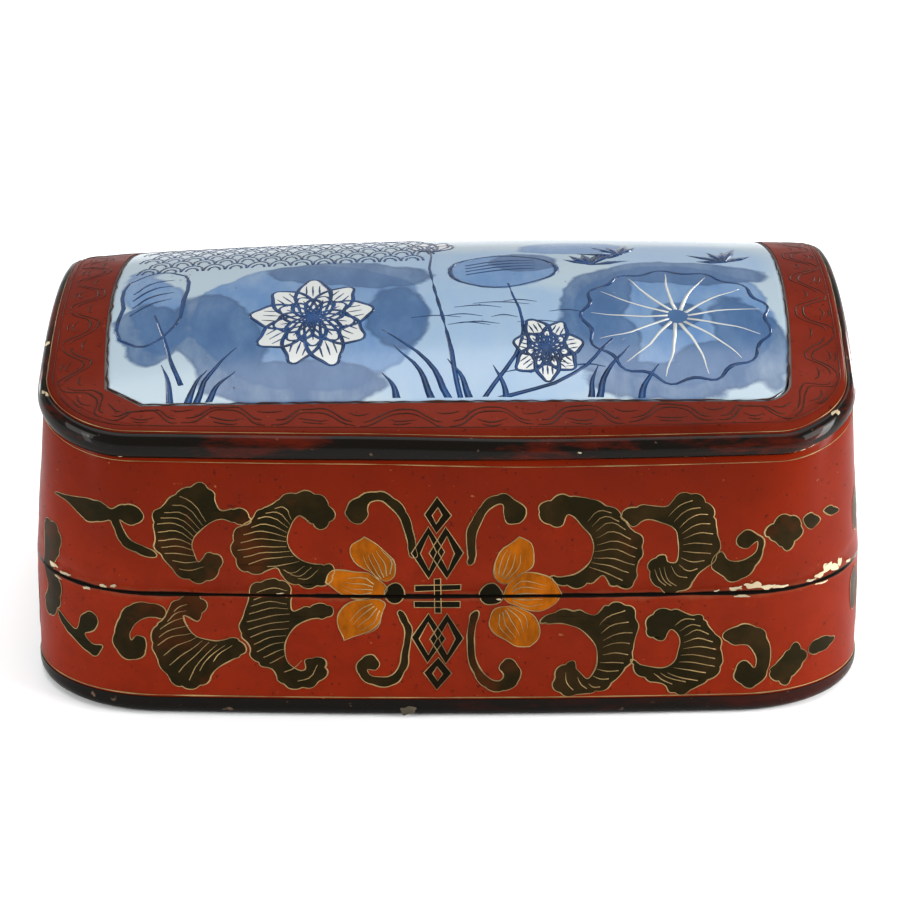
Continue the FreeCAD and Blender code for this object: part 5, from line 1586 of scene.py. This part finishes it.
class INKBOX_OT_wear(bpy.types.Operator):
    """Chips and rubbed places along the seam and the moulding"""
    bl_idname = "ink_box.wear"
    bl_label = "Wear"

    def execute(self, context):
        rng = random.Random(11)
        # each is a distance along the wall, a height, and half lengths along and up
        spots = [(-100, 33.4, 2.6, 0.5), (-95, 32.7, 2.2, 0.4), (-83, 32.6, 1.1, 0.45),
                 (-80.5, 32.9, 1.0, 0.5), (-98, 30.8, 1.4, 0.3), (-88, 30.9, 1.6, 0.3),
                 (68.5, 33.0, 2.0, 0.5), (73.0, 33.5, 2.6, 0.9), (76.5, 33.0, 2.4, 0.6),
                 (79.5, 32.7, 2.2, 0.35), (91, 33.2, 2.0, 0.7), (93.5, 34.4, 2.0, 1.3),
                 (96.5, 33.6, 1.6, 1.2), (98.5, 34.4, 1.0, 1.2), (70, 30.9, 2.0, 0.25),
                 (92, 31.0, 2.2, 0.25), (64, 32.5, 1.0, 0.25), (-40, 32.5, 0.9, 0.2),
                 (12, 31.1, 0.8, 0.2), (103, 32.9, 1.6, 0.5), (88, 32.7, 1.6, 0.3)]
        chips = [ragged(*spot, rng) for spot in spots]
        for _ in range(26):      # small ones round the ends and the back
            s = rng.uniform(112, PLAN.whole - 106)
            height = sizes().seam / MM + rng.choice((-0.9, 0.9))
            chips.append(ragged(s, height, rng.uniform(0.4, 1.6), rng.uniform(0.2, 0.5), rng))
        # the same, with heights up the section of the moulding
        spots = [(95.6, 6.3, 1.1, 0.55), (96.6, 5.6, 0.8, 0.6), (88.0, 0.5, 1.9, 0.4),
                 (85.0, 0.4, 1.2, 0.25), (91.0, 0.6, 1.0, 0.35), (-105.5, 6.5, 1.2, 0.5),
                 (-107.0, 5.9, 0.8, 0.5), (-131.0, 6.0, 1.1, 0.7), (-78.0, 0.4, 0.7, 0.15),
                 (31.0, 3.0, 0.5, 0.25), (140.0, 3.0, 0.9, 0.4), (240.0, 5.0, 1.0, 0.3)]
        patches = wobble(filled([ragged(*spot, rng) for spot in spots], 3), 0.4, 1.6, 2.0)
        slice_up(patches, 1, [k * 0.35 for k in range(22)])
        for vert in patches.verts:
            vert.co = on_moulding(vert.co.x, max(0.05, min(7.2, vert.co.y)), 0.05)
        keep("moulding_chips", patches, "lid", "gesso")
        wrap_on_walls("grey_patch", filled([ragged(-9.7, 1.9, 2.4, 1.3, rng)], 3),
                      "grey patch", 0.32, 1.0)
        wrap_on_walls("chips", wobble(filled(chips, 3), 0.5, 1.6, 2.0), "gesso",
                      0.125, 1.0)
        return {"FINISHED"}


class INKBOX_OT_silk(bpy.types.Operator):
    """Silk pads under the stone and the stick, and the two linings"""
    bl_idname = "ink_box.silk"
    bl_label = "Silk"

    def execute(self, context):
        for node in ("stone_pad", "stick_pad"):
            low, high = [Vector(c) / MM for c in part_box(node)]
            half = (high - low) / 2
            centre = (high + low) / 2
            bottom, rim_height = low.z + 0.03, low.z + 0.5
            bm = bmesh.new()
            bmesh.ops.create_cube(bm, size=2.0)
            bmesh.ops.subdivide_edges(bm, edges=bm.edges, cuts=14, use_grid_fill=True)
            for vert in bm.verts:
                u, v, w = vert.co
                drawn_in = 0.012 * (1 - abs(u) ** 4) * (abs(v) > 0.99) \
                    + 0.012 * (1 - abs(v) ** 4) * (abs(u) > 0.99)
                crest = (1 - abs(u) ** 6) * (1 - abs(v) ** 6)
                top = rim_height + (half.z * 2 - 0.55) * crest
                share = 0.985 * (1.0 - drawn_in)      # of the well's length and width
                vert.co = Vector((centre.x + u * half.x * share,
                                  centre.y + v * half.y * share,
                                  bottom + (w + 1) / 2 * (top - bottom))) * MM
            piece = keep(node.replace("pad", "silk_pad"), bm, "tray", "pad silk")
            soften = piece.modifiers.new("soft", "SUBSURF")
            soften.levels = soften.render_levels = 1
            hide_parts(node)

        for node, body, held, rest in (
                ("base_lining", "base", "laid", ["base_board"]),
                ("lid_lining", "lid", "stretched", ["crown_frame", "crown_backing"])):
            high = Vector(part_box(node)[1]) / MM
            bm = flat_grid(high.x, high.y, 3.0)
            trim(bm, PLAN.planes(sizes().half_width / MM - high.x + 0.1))
            area = sum(f.calc_area() for f in bm.faces) * MM * MM
            for vert in bm.verts:
                x, y, _ = vert.co
                crease = 0.05 * noise.noise((x * 0.06, y * 0.06, 2.0))
                top = high.z - 0.06 if held == "laid" else vault(y) - 0.12
                vert.co.z = top + crease
            if held == "laid":
                bmesh.ops.reverse_faces(bm, faces=bm.faces)
            bmesh.ops.scale(bm, vec=(MM, MM, MM), verts=bm.verts)
            bmesh.ops.solidify(bm, geom=bm.faces, thickness=0.4 * MM)
            bmesh.ops.recalc_face_normals(bm, faces=bm.faces)
            piece = keep(node.replace("lining", "silk_lining"), bm, body,
                         "lining silk")
            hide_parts(node)
        return {"FINISHED"}


class INKBOX_PT_panel(bpy.types.Panel):
    """Buttons for the pieces, in the order in which they are made"""
    bl_idname = "INKBOX_PT_panel"
    bl_label = "Ink Box"
    bl_space_type = "VIEW_3D"
    bl_region_type = "UI"
    bl_category = "Ink Box"

    def draw(self, context):
        for step in STEPS:
            self.layout.operator(step.bl_idname)


STEPS = (INKBOX_OT_stage, INKBOX_OT_lacquer, INKBOX_OT_moulding, INKBOX_OT_porcelain,
         INKBOX_OT_painting, INKBOX_OT_border, INKBOX_OT_leaves, INKBOX_OT_flowers,
         INKBOX_OT_wear, INKBOX_OT_silk)
CLASSES = (InkBoxSizes, InkBoxColours, *STEPS, INKBOX_PT_panel)


def register():
    for cls in CLASSES:
        bpy.utils.register_class(cls)
    bpy.types.Scene.ink_box_sizes = PointerProperty(type=InkBoxSizes)
    bpy.types.Scene.ink_box_colours = PointerProperty(type=InkBoxColours)


def unregister():
    del bpy.types.Scene.ink_box_colours
    del bpy.types.Scene.ink_box_sizes
    for cls in reversed(CLASSES):
        bpy.utils.unregister_class(cls)


def main():
    global PLAN
    register()
    PLAN = Plan()
    for step in STEPS:
        family, name = step.bl_idname.split(".")
        getattr(getattr(bpy.ops, family), name)()


if __name__ == "__main__":
    main()
